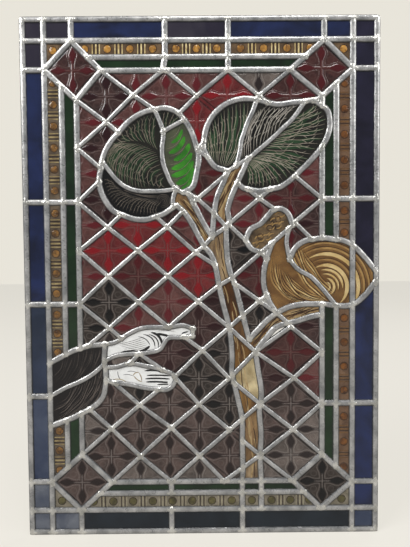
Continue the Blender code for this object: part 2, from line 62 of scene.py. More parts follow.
# The ground is ruled in half quarries, eight across and sixteen down, and bows a little
HALF_QUARRIES_ACROSS = 8
HALF_QUARRIES_DOWN = 16
SIDEWAYS_BOW = -3.5
UPWARD_BOW = 4.0

# Came ends and crossings closer than this on the cartoon are soldered into one joint
JOINT_REACH = 3.6
# A lattice came whose middle is this near a figure came on the cartoon is left out
CROWDED = 2.5
# A pane or the edge of a pane that comes out smaller than this is filled with solder
SMALLEST_PANE = 20.0
SHORTEST_EDGE = 0.8
NEARLY_STRAIGHT = 0.06

# Places where the figure needs a joint of the lattice: one within this reach is pulled onto them
PULL_REACH = 9.0
PULLED_JOINTS = [
    (-86.2, 572.7), (-8, 371.1), (39.1, 337.8), (-44.1, 404.2), (-121, 404.2), (120.3, 409.2),
    (-44.1, 276.7), (0, 243.4), (69.8, 239.9), (-36.6, 208.6), (119.3, 206.1), (-120, 141),
    (-41.6, 141.5), (118, 138), (27.1, 69.7), (73.5, 501.7), (77, 370.6),
]

# Ties: cames that run on from the ground across the trunk and hold it
TRUNK_TIES = [
    [(-5, 440.2), (34.6, 407.2), (-8, 371.1)],
    [(22.4, 326.2), (39.1, 337.8)],
    [
        (74.8, 307.3), (34.6, 273.7), (69.8, 239.9), (34.6, 206.1), (74.8, 172.1), (34.6, 138),
        (74.8, 103.9), (27.1, 69.7),
    ],
    [(-5, 172.1), (34.6, 138)],
]
# The lattice came nearest to this place is left out, where two quarries are one pane
UNCUT_PLACE = (14.8, 554.9)

# Corner diamonds: how far from the corner of the blue band, then of the ground, their points lie
CORNER_DIAMONDS = {
    ("left", "top"): (35.0, 36.5, 32.0, 37.0),
    ("right", "top"): (37.0, 36.5, 41.0, 33.8),
    ("left", "bottom"): (38.4, 38.4, 38.5, 37.3),
    ("right", "bottom"): (41.1, 35.5, 38.5, 34.8),
}

# Outlines of the figure
OUTER_CURVES = {
    "left leaf": [
        (-32, 432), (-49, 421), (-69, 414.5), (-90, 415.5), (-110.5, 423.5), (-124, 439), (-131.5, 463),
        (-127.5, 489), (-114, 516), (-94, 538), (-70, 552), (-47, 556.3), (-28, 549), (-13, 528),
        (-4.5, 503), (-6, 473), (-14, 453), (-24, 448.5),
    ],
    "right leaf": [
        (34.5, 475.5), (20, 480), (9, 493), (3, 507), (5, 522), (14, 544), (31, 560), (51, 567),
        (72, 566), (92.5, 560.5), (122, 562.5), (145, 564.5), (160, 555), (166, 536), (163, 519),
        (156, 505.9), (140, 487), (118, 466), (98, 453.5), (74, 449.5), (56, 453), (46.5, 460),
    ],
    "left stalk, left": [(-32, 432), (-23.5, 424.5), (-13.5, 410), (-4.5, 393), (3, 379)],
    "left stalk, right": [(-24, 448.5), (-17, 447.5), (-5, 424), (2, 410), (13.5, 391)],
    "right stalk, left": [(34.5, 475.5), (28.5, 461), (20, 441), (16.5, 421), (13.5, 391)],
    "right stalk, right": [(61, 491.5), (53, 474), (46.5, 460), (38.5, 442), (34, 425.5), (32, 404)],
    "trunk, left": [
        (3, 379), (12, 368), (17, 354.5), (22, 328), (28, 301), (35, 273), (38.5, 236), (38.5, 210),
        (45, 182), (51, 152), (51.5, 107), (52, 69.7),
    ],
    "trunk, right": [(32, 404), (32, 382), (34.5, 354.5), (42, 331), (48, 308.5), (55, 280), (61, 257)],
    "trunk, low right": [(69, 241), (72, 220), (76, 178), (76, 130), (76.5, 69.7)],
    "branch, top": [(61, 257), (75.5, 273), (88, 285), (97, 291.5)],
    "branch, bottom": [(69, 241), (82, 257.5), (98, 274), (120.5, 280), (142.5, 286.5), (156, 289)],
    "gourd, bottom": [
        (97, 291.5), (111, 298.5), (130, 302.5), (156, 303), (174.3, 300.5), (195.5, 301.5), (210, 312),
        (226.25, 332),
    ],
    "gourd, top": [
        (114, 361), (121, 376), (137, 386), (156, 388.5), (180, 386), (195.5, 379), (210, 365),
        (226.25, 345),
    ],
    "gourd, left": [(91, 382.5), (84, 362), (80, 342), (82, 320), (88, 305), (97, 291.5)],
    "bud": [
        (77, 370.6), (65, 375), (57, 386), (63, 400), (77, 408), (86, 418), (95, 426), (105, 426),
        (114, 417), (118, 405),
    ],
    "sleeve, top": [(-199.5, 228), (-185, 236), (-168, 244.5), (-150, 250), (-127, 252.5)],
    "cuff": [
        (-127, 252.5), (-128, 236), (-127, 222), (-126, 205), (-130, 185), (-148, 167), (-170, 156),
        (-199.5, 145),
    ],
}
INNER_CURVES = {
    "left leaf, fold": [
        (-59, 554.5), (-50.5, 534), (-48.3, 526), (-50, 505), (-48.3, 484.5), (-40, 463), (-24, 448.5),
    ],
    "left leaf, tip": [(-48.3, 526), (-35.5, 533.5), (-21, 541)],
    "left leaf, underside": [
        (-127.5, 489), (-112, 469), (-95, 455), (-77, 450.5), (-52, 450.5), (-32, 453),
    ],
    "left leaf, foot": [(-35, 452.5), (-36, 443), (-37, 429)],
    "leaf tip": [(-17, 447.5), (-5, 440.2)],
    "leaf link": [(-4.5, 503), (3, 507)],
    "right leaf, rib": [
        (34.5, 475.5), (45, 482), (61, 491.5), (80, 507), (100, 524.5), (120, 544), (134, 563.5),
    ],
    "right leaf, lobe": [(45, 482), (50, 500), (52.5, 516), (60, 537), (67, 552), (73.5, 566)],
    "right stalk, foot": [(16.5, 421), (32, 406)],
    "fork": [(3, 379), (13.5, 391), (32, 404)],
    "branch link": [(97, 291.5), (112, 278)],
    "gourd, fold": [(114, 361), (124, 349), (142, 338), (157, 322), (174.3, 300.5)],
    "gourd, neck": [(113, 401), (110, 385), (114, 361)],
    "bud, base": [(77, 370.6), (91, 382.5), (113, 401), (118, 405)],
    "sleeve, fold": [(-128, 236), (-138, 218), (-160, 204), (-180, 195.5), (-199.5, 184.5)],
    "upper hand": [
        (-127, 252.5), (-112, 256), (-97, 265.5), (-80, 273), (-60, 274.5), (-44, 274), (-25, 276.5),
        (-12, 272), (-13, 262), (-30, 260.5), (-44, 260), (-56, 245), (-72, 241), (-95, 239.5),
        (-114, 237), (-128, 230),
    ],
    "lower hand": [
        (-127, 221.5), (-112, 223), (-95, 227), (-76, 224), (-52, 218), (-40, 213), (-36.6, 208.6),
        (-38, 199), (-50, 191.5), (-72, 194), (-100, 200), (-126, 203),
    ],
}

# A point inside each named pane of the figure, and the pane's glass
FIGURE_PANES = {
    "left_leaf_blade": ((-85, 500), "leaf"),
    "left_leaf_tip": ((-43, 543), "leaf"),
    "left_leaf_lit_lobe": ((-27, 495), "bright leaf"),
    "left_leaf_underside": ((-85, 435), "dark leaf"),
    "left_stalk": ((-14, 425), "bark"),
    "right_leaf_left_lobe": ((30, 520), "leaf"),
    "right_leaf_middle": ((80, 535), "leaf"),
    "right_leaf_lower_half": ((110, 500), "leaf"),
    "right_stalk": ((35, 450), "bark"),
    "fork_of_stalks": ((22, 404), "quarry"),
    "trunk_1": ((22, 375), "bark"),
    "trunk_2": ((38, 300), "bark"),
    "trunk_3": ((47, 235), "gold"),
    "trunk_4": ((58, 205), "gold"),
    "trunk_5": ((53, 175), "gold"),
    "trunk_6": ((65, 135), "bark"),
    "trunk_7": ((58, 105), "bark"),
    "trunk_8": ((64, 82), "bark"),
    "branch": ((90, 278), "bark"),
    "branch_end": ((130, 293), "bark"),
    "gourd_left_lobe": ((110, 330), "gold"),
    "gourd_right_lobe": ((160, 355), "gold"),
    "gourd_edge": ((208, 340), "gold"),
    "bud": ((80, 393), "gold"),
    "upper_sleeve": ((-160, 228), "black"),
    "lower_sleeve": ((-155, 190), "black"),
    "upper_hand": ((-75, 257), "white"),
    "lower_hand": ((-85, 210), "white"),
}

# Bends
BEND_STEP = 2.6
SHARPEST_BEND = 0.6

SIDE_SIGN = {"left": -1, "right": 1, "bottom": -1, "top": 1}


EDGE_LINE, BLUE_LINE, AMBER_LINE, GREEN_LINE = (
    {side: rules[n] for side, rules in CARTOON_RULES.items()} for n in (1, 2, 3, 4)
)


def rectangle(line):
    """The closed ring of a band's came."""
    left, right, bottom, top = line["left"], line["right"], line["bottom"], line["top"]
    return [(left, bottom), (right, bottom), (right, top), (left, top), (left, bottom)]


def corner_diamond(side, end):
    """The four points of a corner diamond: on the side, on the end, and its two on the ground."""
    out_x, out_z, in_x, in_z = CORNER_DIAMONDS[side, end]
    x_in = -SIDE_SIGN[side]
    z_in = -SIDE_SIGN[end]
    return [
        (BLUE_LINE[side], BLUE_LINE[end] + z_in * out_z),
        (BLUE_LINE[side] + x_in * out_x, BLUE_LINE[end]),
        (GREEN_LINE[side] + x_in * in_x, GREEN_LINE[end]),
        (GREEN_LINE[side], GREEN_LINE[end] + z_in * in_z),
    ]


def corner_joints():
    """Lattice joints that are points of the corner diamonds."""
    joints = {}
    for side, end in CORNER_DIAMONDS:
        points = corner_diamond(side, end)
        near = {"left": 1, "right": HALF_QUARRIES_ACROSS - 1, "top": 0, "bottom": HALF_QUARRIES_DOWN}
        far = {"left": 0, "right": HALF_QUARRIES_ACROSS, "top": 1, "bottom": HALF_QUARRIES_DOWN - 1}
        joints[near[side], near[end]] = points[2]
        joints[far[side], far[end]] = points[3]
    return joints


def lattice_joint(across, down):
    """Where a joint of the quarry lattice lies."""
    corners = corner_joints()
    if (across, down) in corners:
        return corners[across, down]
    x_share = across / HALF_QUARRIES_ACROSS
    z_share = down / HALF_QUARRIES_DOWN
    width = GREEN_LINE["right"] - GREEN_LINE["left"]
    height = GREEN_LINE["top"] - GREEN_LINE["bottom"]
    x = GREEN_LINE["left"] + width * x_share + SIDEWAYS_BOW * math.sin(math.pi * x_share)
    z = GREEN_LINE["top"] - height * z_share + UPWARD_BOW * math.sin(math.pi * z_share)
    place = min(PULLED_JOINTS, key=lambda place: math.dist(place, (x, z)))
    return place if math.dist(place, (x, z)) < PULL_REACH else (x, z)


def border_cames():
    """The edge, the rings between the bands, the corner diamonds and the bars across the bands."""
    cames = [("edge", EDGE_CAME, rectangle(EDGE_LINE))]
    for side in ("left", "right"):
        x = BLUE_LINE[side]
        cames.append(("band", BAND_CAME, [(x, EDGE_LINE["bottom"]), (x, EDGE_LINE["top"])]))
    for end in ("bottom", "top"):
        z = BLUE_LINE[end]
        cames.append(("band", BAND_CAME, [(EDGE_LINE["left"], z), (EDGE_LINE["right"], z)]))
    for line in (AMBER_LINE, GREEN_LINE):
        cames.append(("ring", BAND_CAME, rectangle(line)))
    for side, end in CORNER_DIAMONDS:
        points = corner_diamond(side, end)
        cames.append(("diamond", BAND_CAME, points + points[:1]))
        cames.append(("bar", BAND_CAME, [points[0], (EDGE_LINE[side], points[0][1])]))
        if (side, end) != ("right", "bottom"):
            cames.append(("bar", BAND_CAME, [points[1], (points[1][0], EDGE_LINE[end])]))
    bars_down = [
        (-45, "top", EDGE_LINE, AMBER_LINE),
        (-48, "top", AMBER_LINE, GREEN_LINE),
        (35.5, "top", EDGE_LINE, GREEN_LINE),
        (-42.4, "bottom", EDGE_LINE, BLUE_LINE),
        (-42.4, "bottom", AMBER_LINE, GREEN_LINE),
        (51, "bottom", EDGE_LINE, GREEN_LINE),
        (76, "bottom", BLUE_LINE, GREEN_LINE),
    ]
    for x, end, outer, inner in bars_down:
        cames.append(("bar", BAND_CAME, [(x, outer[end]), (x, inner[end])]))
    bars_across = [
        (437, "left", GREEN_LINE),
        (305, "left", GREEN_LINE),
        (184.5, "left", BLUE_LINE),
        (439, "right", GREEN_LINE),
        (172.5, "right", GREEN_LINE),
    ]
    for z, side, inner in bars_across:
        cames.append(("bar", BAND_CAME, [(EDGE_LINE[side], z), (inner[side], z)]))
    return cames


def lattice_cames():
    """The diagonal cames between neighbouring joints of the quarry ground."""
    cames = []
    for across in range(HALF_QUARRIES_ACROSS):
        for down in range(1 - across % 2, HALF_QUARRIES_DOWN + 1, 2):
            for step in (-1, 1):
                start = (across, down)
                end = (across + 1, down + step)
                if 0 <= end[1] <= HALF_QUARRIES_DOWN:
                    ends = [lattice_joint(*start), lattice_joint(*end)]
                    cames.append(("lattice", QUARRY_CAME, ends))
    uncut = min(cames, key=lambda came: math.dist(middle_of(came[2]), UNCUT_PLACE))
    cames.remove(uncut)
    return [("tie", QUARRY_CAME, points) for points in TRUNK_TIES] + cames


def figure_cames():
    """The cames that follow the figure's outlines."""
    cames = [("figure", FIGURE_CAME, points) for points in OUTER_CURVES.values()]
    cames += [("figure", INNER_CAME, points) for points in INNER_CURVES.values()]
    return cames


def silhouettes():
    """Closed outlines of the figure's parts, inside which the lattice stops."""
    outer = OUTER_CURVES
    inner = INNER_CURVES
    trunk = outer["trunk, left"][::-1] + inner["fork"][1:2]
    trunk += outer["trunk, right"] + outer["trunk, low right"]
    branch = outer["branch, top"] + [(112, 297), (156, 303)] + outer["branch, bottom"][::-1]
    gourd = outer["gourd, left"] + outer["gourd, bottom"]
    gourd += outer["gourd, top"][::-1] + inner["gourd, neck"][::-1]
    return {
        "left leaf": outer["left leaf"],
        "right leaf": outer["right leaf"],
        "left stalk": outer["left stalk, right"] + outer["left stalk, left"][::-1],
        "right stalk": outer["right stalk, left"] + outer["right stalk, right"][::-1],
        "trunk": trunk,
        "branch": branch,
        "gourd": gourd,
        "bud": outer["bud"],
        "sleeve": outer["sleeve, top"] + outer["cuff"],
        "upper hand": inner["upper hand"],
        "lower hand": inner["lower hand"],
    }


def inside(point, outline):
    """True if the point lies inside the closed outline."""
    x, z = point
    found = False
    for (x1, z1), (x2, z2) in zip(outline, outline[1:] + outline[:1]):
        if (z1 > z) != (z2 > z) and x < (x2 - x1) * (z - z1) / (z2 - z1) + x1:
            found = not found
    return found


def share_along(point, start, end):
    """How far along a segment its nearest place to the point is, and the distance to it."""
    dx, dz = end[0] - start[0], end[1] - start[1]
    share = ((point[0] - start[0]) * dx + (point[1] - start[1]) * dz) / (dx * dx + dz * dz)
    share = max(0.0, min(1.0, share))
    return share, math.hypot(point[0] - start[0] - share * dx, point[1] - start[1] - share * dz)


def crossing(first, second):
    """The shares along two segments at which they cross, or None."""
    (a, b), (c, d) = first, second
    rx, rz = b[0] - a[0], b[1] - a[1]
    sx, sz = d[0] - c[0], d[1] - c[1]
    turn = rx * sz - rz * sx
    if abs(turn) < 1e-9:
        return None
    t = ((c[0] - a[0]) * sz - (c[1] - a[1]) * sx) / turn
    u = ((c[0] - a[0]) * rz - (c[1] - a[1]) * rx) / turn
    return (t, u) if 0 <= t <= 1 and 0 <= u <= 1 else None


def soldered(cames):
    """The joints, the came pieces between them as {(joint, joint): (kind, width)}, and each came's joints."""
    runs = [(kind, width, (a, b)) for kind, width, points in cames for a, b in zip(points, points[1:])]
    came_of = [number for number, (_, _, points) in enumerate(cames) for _ in points[1:]]
    cuts = [[0.0, 1.0] for _ in runs]
    for m, (_, _, first) in enumerate(runs):
        for n in range(m + 1, len(runs)):
            second = runs[n][2]
            met = crossing(first, second)
            if met:
                cuts[m].append(met[0])
                cuts[n].append(met[1])
            for point, onto in ((first[0], n), (first[1], n), (second[0], m), (second[1], m)):
                share, distance = share_along(point, *runs[onto][2])
                if distance < JOINT_REACH:
                    cuts[onto].append(share)
    places = []
    chains = []
    for (_, _, (a, b)), shares in zip(runs, cuts):
        chain = []
        for share in sorted(set(shares)):
            chain.append(len(places))
            places.append((a[0] + (b[0] - a[0]) * share, a[1] + (b[1] - a[1]) * share))
        chains.append(chain)
    ends = {chain[0] for chain in chains} | {chain[-1] for chain in chains}
    order = sorted(range(len(places)), key=lambda k: (k not in ends, k))
    joints = []
    joint_of = {}
    for k in order:
        near = [(math.dist(places[k], joint), n) for n, joint in enumerate(joints)]
        distance, joint_of[k] = min(near, default=(JOINT_REACH, 0))
        if distance >= JOINT_REACH:
            joint_of[k] = len(joints)
            joints.append(places[k])
    pieces = {}
    for (kind, width, _), chain in zip(runs, chains):
        for a, b in zip(chain, chain[1:]):
            pair = tuple(sorted((joint_of[a], joint_of[b])))
            if pair[0] != pair[1]:
                pieces.setdefault(pair, (kind, width))
    lines = [((kind, width), []) for kind, width, _ in cames]
    for number, chain in zip(came_of, chains):
        line = lines[number][1]
        for k in chain:
            if not line or line[-1] != joint_of[k]:
                line.append(joint_of[k])
    return joints, pieces, lines


def kept_pieces(joints, pieces):
    """The came pieces without those that the figure or a diamond interrupts, and no loose ends."""
    shapes = silhouettes()
    diamonds = [corner_diamond(side, end) for side, end in CORNER_DIAMONDS]
    over_bands = [shapes[name] for name in ("right leaf", "gourd", "sleeve")]
    curves = [points for kind, _, points in figure_cames()]
    kept = {}
    for (a, b), (kind, width) in pieces.items():
        middle = ((joints[a][0] + joints[b][0]) / 2, (joints[a][1] + joints[b][1]) / 2)
        if kind == "ring" and any(inside(middle, shape) for shape in diamonds + over_bands):
            continue
        if kind == "lattice" and any(inside(middle, shape) for shape in shapes.values()):
            continue
        if kind in ("lattice", "tie"):
            gaps = [share_along(middle, p, q)[1] for points in curves for p, q in zip(points, points[1:])]
            if min(gaps) < CROWDED:
                continue
        kept[a, b] = (kind, width)
    while True:
        meets = {}
        for pair in kept:
            for joint in pair:
                meets[joint] = meets.get(joint, 0) + 1
        loose = [pair for pair in kept if min(meets[pair[0]], meets[pair[1]]) == 1]
        if not loose:
            return kept
        for pair in loose:
            del kept[pair]


def area(points):
    """The signed area of a closed outline, positive when it runs anticlockwise."""
    return sum(a[0] * b[1] - b[0] * a[1] for a, b in zip(points, points[1:] + points[:1])) / 2


def came_loops(joints, pieces):
    """Loops of joints: anticlockwise round each opening, and clockwise round the whole network."""
    around = {}
    for a, b in pieces:
        around.setdefault(a, []).append(b)
        around.setdefault(b, []).append(a)
    for a, others in around.items():
        others.sort(key=lambda b: math.atan2(joints[b][1] - joints[a][1], joints[b][0] - joints[a][0]))
    walked = set()
    loops = []
    for start in around:
        for nearest in around[start]:
            loop = []
            a, b = start, nearest
            while (a, b) not in walked:
                walked.add((a, b))
                loop.append(a)
                others = around[b]
                a, b = b, others[others.index(a) - 1]
            if loop:
                loops.append(loop)
    return loops


def simple_loops(points):
    """A closed outline that may cross itself, as outlines that don't."""
    count = len(points)
    for k in range(count):
        for m in range(k + 2, count - (k == 0)):
            first = (points[k], points[k + 1])
            second = (points[m], points[(m + 1) % count])
            met = crossing(first, second)
            if met:
                (ax, az), (bx, bz) = first
                cut = (ax + (bx - ax) * met[0], az + (bz - az) * met[0])
                inner = [cut] + points[k + 1 : m + 1]
                outer = points[: k + 1] + [cut] + points[m + 1 :]
                return simple_loops(inner) + simple_loops(outer)
    return [points]


def without_short_edges(points):
    """An outline with corners that nearly coincide made one."""
    kept = []
    for point in points:
        if not kept or math.dist(point, kept[-1]) >= SHORTEST_EDGE:
            kept.append(point)
    if len(kept) > 1 and math.dist(kept[0], kept[-1]) < SHORTEST_EDGE:
        kept.pop()
    return kept


def moved_in(points, distances):
    """What is left of a closed outline when each edge moves in by its own distance."""
    rows = []
    for (a, b), distance in zip(zip(points, points[1:] + points[:1]), distances):
        length = math.dist(a, b)
        along = ((b[0] - a[0]) / length, (b[1] - a[1]) / length)
        start = (a[0] - along[1] * distance, a[1] + along[0] * distance)
        rows.append((start, along, length))
    corners = []
    for (p, d, length), (q, e, _) in zip(rows[-1:] + rows[:-1], rows):
        turn = d[0] * e[1] - d[1] * e[0]
        if abs(turn) < NEARLY_STRAIGHT:
            corners.append(((p[0] + d[0] * length + q[0]) / 2, (p[1] + d[1] * length + q[1]) / 2))
        else:
            t = ((q[0] - p[0]) * e[1] - (q[1] - p[1]) * e[0]) / turn
            corners.append((p[0] + d[0] * t, p[1] + d[1] * t))
    left = without_short_edges(max(simple_loops(corners), key=area))
    return left if all(inside(corner, points) for corner in left) else []


def came_layout():
    """The joints, the came pieces, each came's own line of joints, and a loop of joints for each space."""
    joints, pieces, lines = soldered(border_cames() + figure_cames() + lattice_cames())
    pieces = kept_pieces(joints, pieces)
    loops = came_loops(joints, pieces)
    signed = [area([joints[k] for k in loop]) for loop in loops]
    return joints, pieces, lines, [loop for loop, size in zip(loops, signed) if size > 0]


def opening(joints, pieces, loop):
    """What the cames' faces leave free inside a loop of joints, or nothing where solder fills it."""
    pairs = zip(loop, loop[1:] + loop[:1])
    halves = [pieces[tuple(sorted(pair))][1] / 2 for pair in pairs]
    left = moved_in([joints[k] for k in loop], halves)
    return left if len(left) > 2 and area(left) > SMALLEST_PANE else []


def middle_of(outline):
    """The mean of an outline's corners."""
    return (
        sum(point[0] for point in outline) / len(outline),
        sum(point[1] for point in outline) / len(outline),
    )


def in_blue_band(point):
    """True if a point of the cartoon lies outside the blue band's inner cames."""
    x, z = point
    across = BLUE_LINE["left"] < x < BLUE_LINE["right"]
    up = BLUE_LINE["bottom"] < z < BLUE_LINE["top"]
    return not (across and up)


def named_panes(drawn):
    """The panes that are pieces of their own, as {number of the space: (name, finish)}.

    drawn gives the came loop round each space, on the cartoon, or nothing where solder fills it.
    """
    named = {}
    wanted = [(name, point, finish) for name, (point, finish) in FIGURE_PANES.items()]
    for side, end in CORNER_DIAMONDS:
        wanted.append((f"{end}_{side}_corner_diamond", middle_of(corner_diamond(side, end)), "quarry"))
    for name, point, finish in wanted:
        for number, outline in enumerate(drawn):
            if outline and inside(point, outline):
                named[number] = (name, finish)
    middles = {k: middle_of(outline) for k, outline in enumerate(drawn) if outline and k not in named}
    blue = [k for k, middle in middles.items() if in_blue_band(middle)]
    _, half_up = middle_of(rectangle(EDGE_LINE)[1:])
    blue.sort(key=lambda k: math.atan2(middles[k][0], middles[k][1] - half_up))
    for count, number in enumerate(blue, start=1):
        named[number] = (f"blue_border_{count:02d}", "blue")
    return named


def directions(joints, line):
    """The unit directions in which a came reaches and leaves each joint along its line."""
    steps = []
    for a, b in zip(line, line[1:]):
        length = math.dist(joints[a], joints[b])
        steps.append(((joints[b][0] - joints[a][0]) / length, (joints[b][1] - joints[a][1]) / length, length))
    found = [(steps[0][:2], steps[0][:2])]
    for came_in, goes_on in zip(steps, steps[1:]):
        turn = came_in[0] * goes_on[0] + came_in[1] * goes_on[1]
        if turn < SHARPEST_BEND:
            found.append((came_in[:2], goes_on[:2]))
            continue
        x = came_in[0] * goes_on[2] + goes_on[0] * came_in[2]
        z = came_in[1] * goes_on[2] + goes_on[1] * came_in[2]
        size = math.hypot(x, z)
        found.append(((x / size, z / size),) * 2)
    found.append((steps[-1][:2], steps[-1][:2]))
    return found


def bent(start, end, leaving, reaching):
    """Points from one joint to the next on a smooth bend, both ends included."""
    length = math.dist(start, end)
    count = max(2, round(length / BEND_STEP))
    points = []
    for k in range(count + 1):
        t = k / count
        weights = (2 * t**3 - 3 * t**2 + 1, (t**3 - 2 * t**2 + t) * length)
        others = (3 * t**2 - 2 * t**3, (t**3 - t**2) * length)
        points.append(
            tuple(
                weights[0] * start[axis] + weights[1] * leaving[axis]
                + others[0] * end[axis] + others[1] * reaching[axis]
                for axis in (0, 1)
            )
        )
    return points


def came_paths(joints, pieces, lines):
    """The path of every kept came piece, as {(joint, joint): points}, and the strips to sweep."""
    paths = {}
    strips = []
    for (kind, width), line in lines:
        if len(line) < 2:
            continue
        ways = directions(joints, line)
        run = []
        for n, (a, b) in enumerate(zip(line, line[1:])):
            pair = tuple(sorted((a, b)))
            if pair not in pieces or pair in paths:
                strips.append((kind, width, run))
                run = []
                continue
            if kind == "figure":
                points = bent(joints[a], joints[b], ways[n][1], ways[n + 1][0])
            else:
                points = [joints[a], joints[b]]
            paths[pair] = points if a < b else points[::-1]
            if ways[n][0] != ways[n][1] and run:
                strips.append((kind, width, run))
                run = []
            run = run + points[1:] if run else list(points)
        strips.append((kind, width, run))
    return paths, [strip for strip in strips if strip[2]]


def opening_of(loop, paths, distance):
    """The outline left inside a loop of cames, a set distance from their middle lines."""
    points = []
    distances = []
    for a, b in zip(loop, loop[1:] + loop[:1]):
        pair = tuple(sorted((a, b)))
        path = paths[pair] if a < b else paths[pair][::-1]
        points += path[:-1]
        distances += [distance] * (len(path) - 1)
    return moved_in(points, distances)


# Came section: distances from the panel's middle plane and from the came's middle line
HEART_HALF = 0.6
REBATE = 1.1
FLANGE_INSIDE = 1.58
CROWN = [(0.0, 3.3), (0.3, 3.24), (0.58, 3.0), (0.82, 2.5), (1.0, 1.9)]
CROWN_STEP = 5.0
SOLDER_TOP = 3.8


def crown_height(share):
    """How far a came's face stands out at a share of its half width."""
    share = min(1.0, abs(share))
    for (s0, y0), (s1, y1) in zip(CROWN, CROWN[1:]):
        if share <= s1:
            return y0 + (y1 - y0) * (share - s0) / (s1 - s0)
    return CROWN[-1][1]


def came_section(width):
    """The came's H section, as (sideways, depth) in millimetres, front first."""
    half = width / 2
    front = [(-s * half, -y) for s, y in CROWN[::-1]] + [(s * half, -y) for s, y in CROWN[1:]]
    right = [(half, -FLANGE_INSIDE), (HEART_HALF, -FLANGE_INSIDE)]
    right += [(x, -y) for x, y in right[::-1]]
    back = [(-x, -y) for x, y in front]
    left = [(-x, -y) for x, y in right]
    return front + right + back + left


def stepped(points, step):
    """The same path with a point at least every step."""
    found = [points[0]]
    for (x0, z0), (x1, z1) in zip(points, points[1:]):
        count = max(1, math.ceil(math.dist((x0, z0), (x1, z1)) / step))
        found += [(x0 + (x1 - x0) * k / count, z0 + (z1 - z0) * k / count) for k in range(1, count + 1)]
    return found


def wavy(x, z, layer, scale):
    """A slow hand-made unevenness between -1 and 1."""
    return noise.noise(Vector((x * scale, z * scale, layer)))


def grime_and_shade_layer(mesh_data):
    """Where a mesh keeps how near its came's edge each point lies, for the grime and painted shade along the
    edges.
    """
    layers = mesh_data.verts.layers.float
    return layers.get("grime_and_shade") or layers.new("grime_and_shade")


def on_panel(x, z, inset=0.0):
    """A place kept within the panel's edges, or that far inside them."""
    half = PANEL_WIDTH / 2 - inset
    return max(-half, min(half, x)), max(inset, min(PANEL_HEIGHT - inset, z))


def span(outline, axis):
    """An outline's lowest and highest place along an axis."""
    places = [point[axis] for point in outline]
    return min(places), max(places)


def walled(mesh_data, near, far):
    """Faces all the way round between two rings of points."""
    for k in range(len(near)):
        n = (k + 1) % len(near)
        mesh_data.faces.new((near[k], near[n], far[n], far[k]))


# How much a hand-drawn came varies in its width and in how far it stands out
WIDTH_VARIES = 0.05
CROWN_VARIES = 0.03


def sweep(mesh_data, points, width, square_ends):
    """One came along its path, with how near its edge each point is kept for the grime and painted shade."""
    grime_and_shade = grime_and_shade_layer(mesh_data)
    points = stepped(points, CROWN_STEP)
    section = came_section(width)
    rings = []
    for k, (x, z) in enumerate(points):
        before = points[max(k - 1, 0)]
        after = points[min(k + 1, len(points) - 1)]
        size = math.dist(before, after)
        along = ((after[0] - before[0]) / size, (after[1] - before[1]) / size)
        side = (along[1], -along[0])
        grow = 1 + WIDTH_VARIES * wavy(x, z, 3.0, 0.11)
        ring = []
        for across, depth in section:
            lift = 1 + CROWN_VARIES * wavy(x + across, z, depth, 0.2)
            spot = (x + side[0] * across * grow, z + side[1] * across * grow)
            if square_ends:
                spot = on_panel(*spot)
            vert = mesh_data.verts.new((spot[0] * MM, depth * lift * MM, spot[1] * MM))
            vert[grime_and_shade] = abs(across) / (width / 2)
            ring.append(vert)
        rings.append(ring)
    for near, far in zip(rings, rings[1:]):
        walled(mesh_data, near, far)
    mesh_data.faces.new(rings[0])
    mesh_data.faces.new(rings[-1][::-1])


# Edges that turn by more than this stay sharp
SHARP_EDGE = math.radians(48)


def placed(name, data):
    """A new object in the scene."""
    made = bpy.data.objects.new(name, data)
    bpy.context.scene.collection.objects.link(made)
    return made


def finished(name, mesh_data, finishes):
    """Puts a finished mesh in the scene as one named piece that rides on the panel."""
    grime_and_shade = mesh_data.verts.layers.float.get("grime_and_shade")
    if grime_and_shade:
        # each point's share of the painted shade and grime at its edge goes into the pattern map
        places = mesh_data.loops.layers.uv.new("pattern")
        for face in mesh_data.faces:
            for loop in face.loops:
                loop[places].uv = (loop.vert[grime_and_shade], 0.5)
    mesh = bpy.data.meshes.new(name)
    bmesh.ops.recalc_face_normals(mesh_data, faces=mesh_data.faces)
    mesh_data.to_mesh(mesh)
    mesh_data.free()
    for finish in finishes:
        mesh.materials.append(finish)
    mesh.shade_smooth()
    mesh.set_sharp_from_angle(angle=SHARP_EDGE)
    piece = placed(name, mesh)
    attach(piece, "root")
    return piece


# A puddle of solder: how far it reaches, how much further along a came and over what angle there, the
# shares of its reach where its rings lie, and how uneven it is
PUDDLE_REACH = 4.3
PUDDLE_ARM = 3.6
PUDDLE_ARM_ANGLE = 0.38
PUDDLE_SIDES = 22
PUDDLE_RINGS = (0.0, 0.24, 0.46, 0.66, 0.84, 1.0)
PUDDLE_VARIES = 0.22
PUDDLE_INSET = 0.1
# How far solder stands out where it fills a gap
FILLED_TOP = 2.6
# Two came pieces that meet at a wider angle than this are one came and need no solder
RUNS_ON = 2.3


def face_under(x, z, middle, arms):
    """How far the cames that meet at a joint stand out under a place near it."""
    height = FLANGE_INSIDE
    across = x - middle[0]
    up = z - middle[1]
    for heading, half in arms:
        along = across * math.cos(heading) + up * math.sin(heading)
        off = abs(up * math.cos(heading) - across * math.sin(heading))
        off = off if along > 0 else math.hypot(across, up)
        if off < half * 1.02:
            height = max(height, crown_height(off / half))
    return height


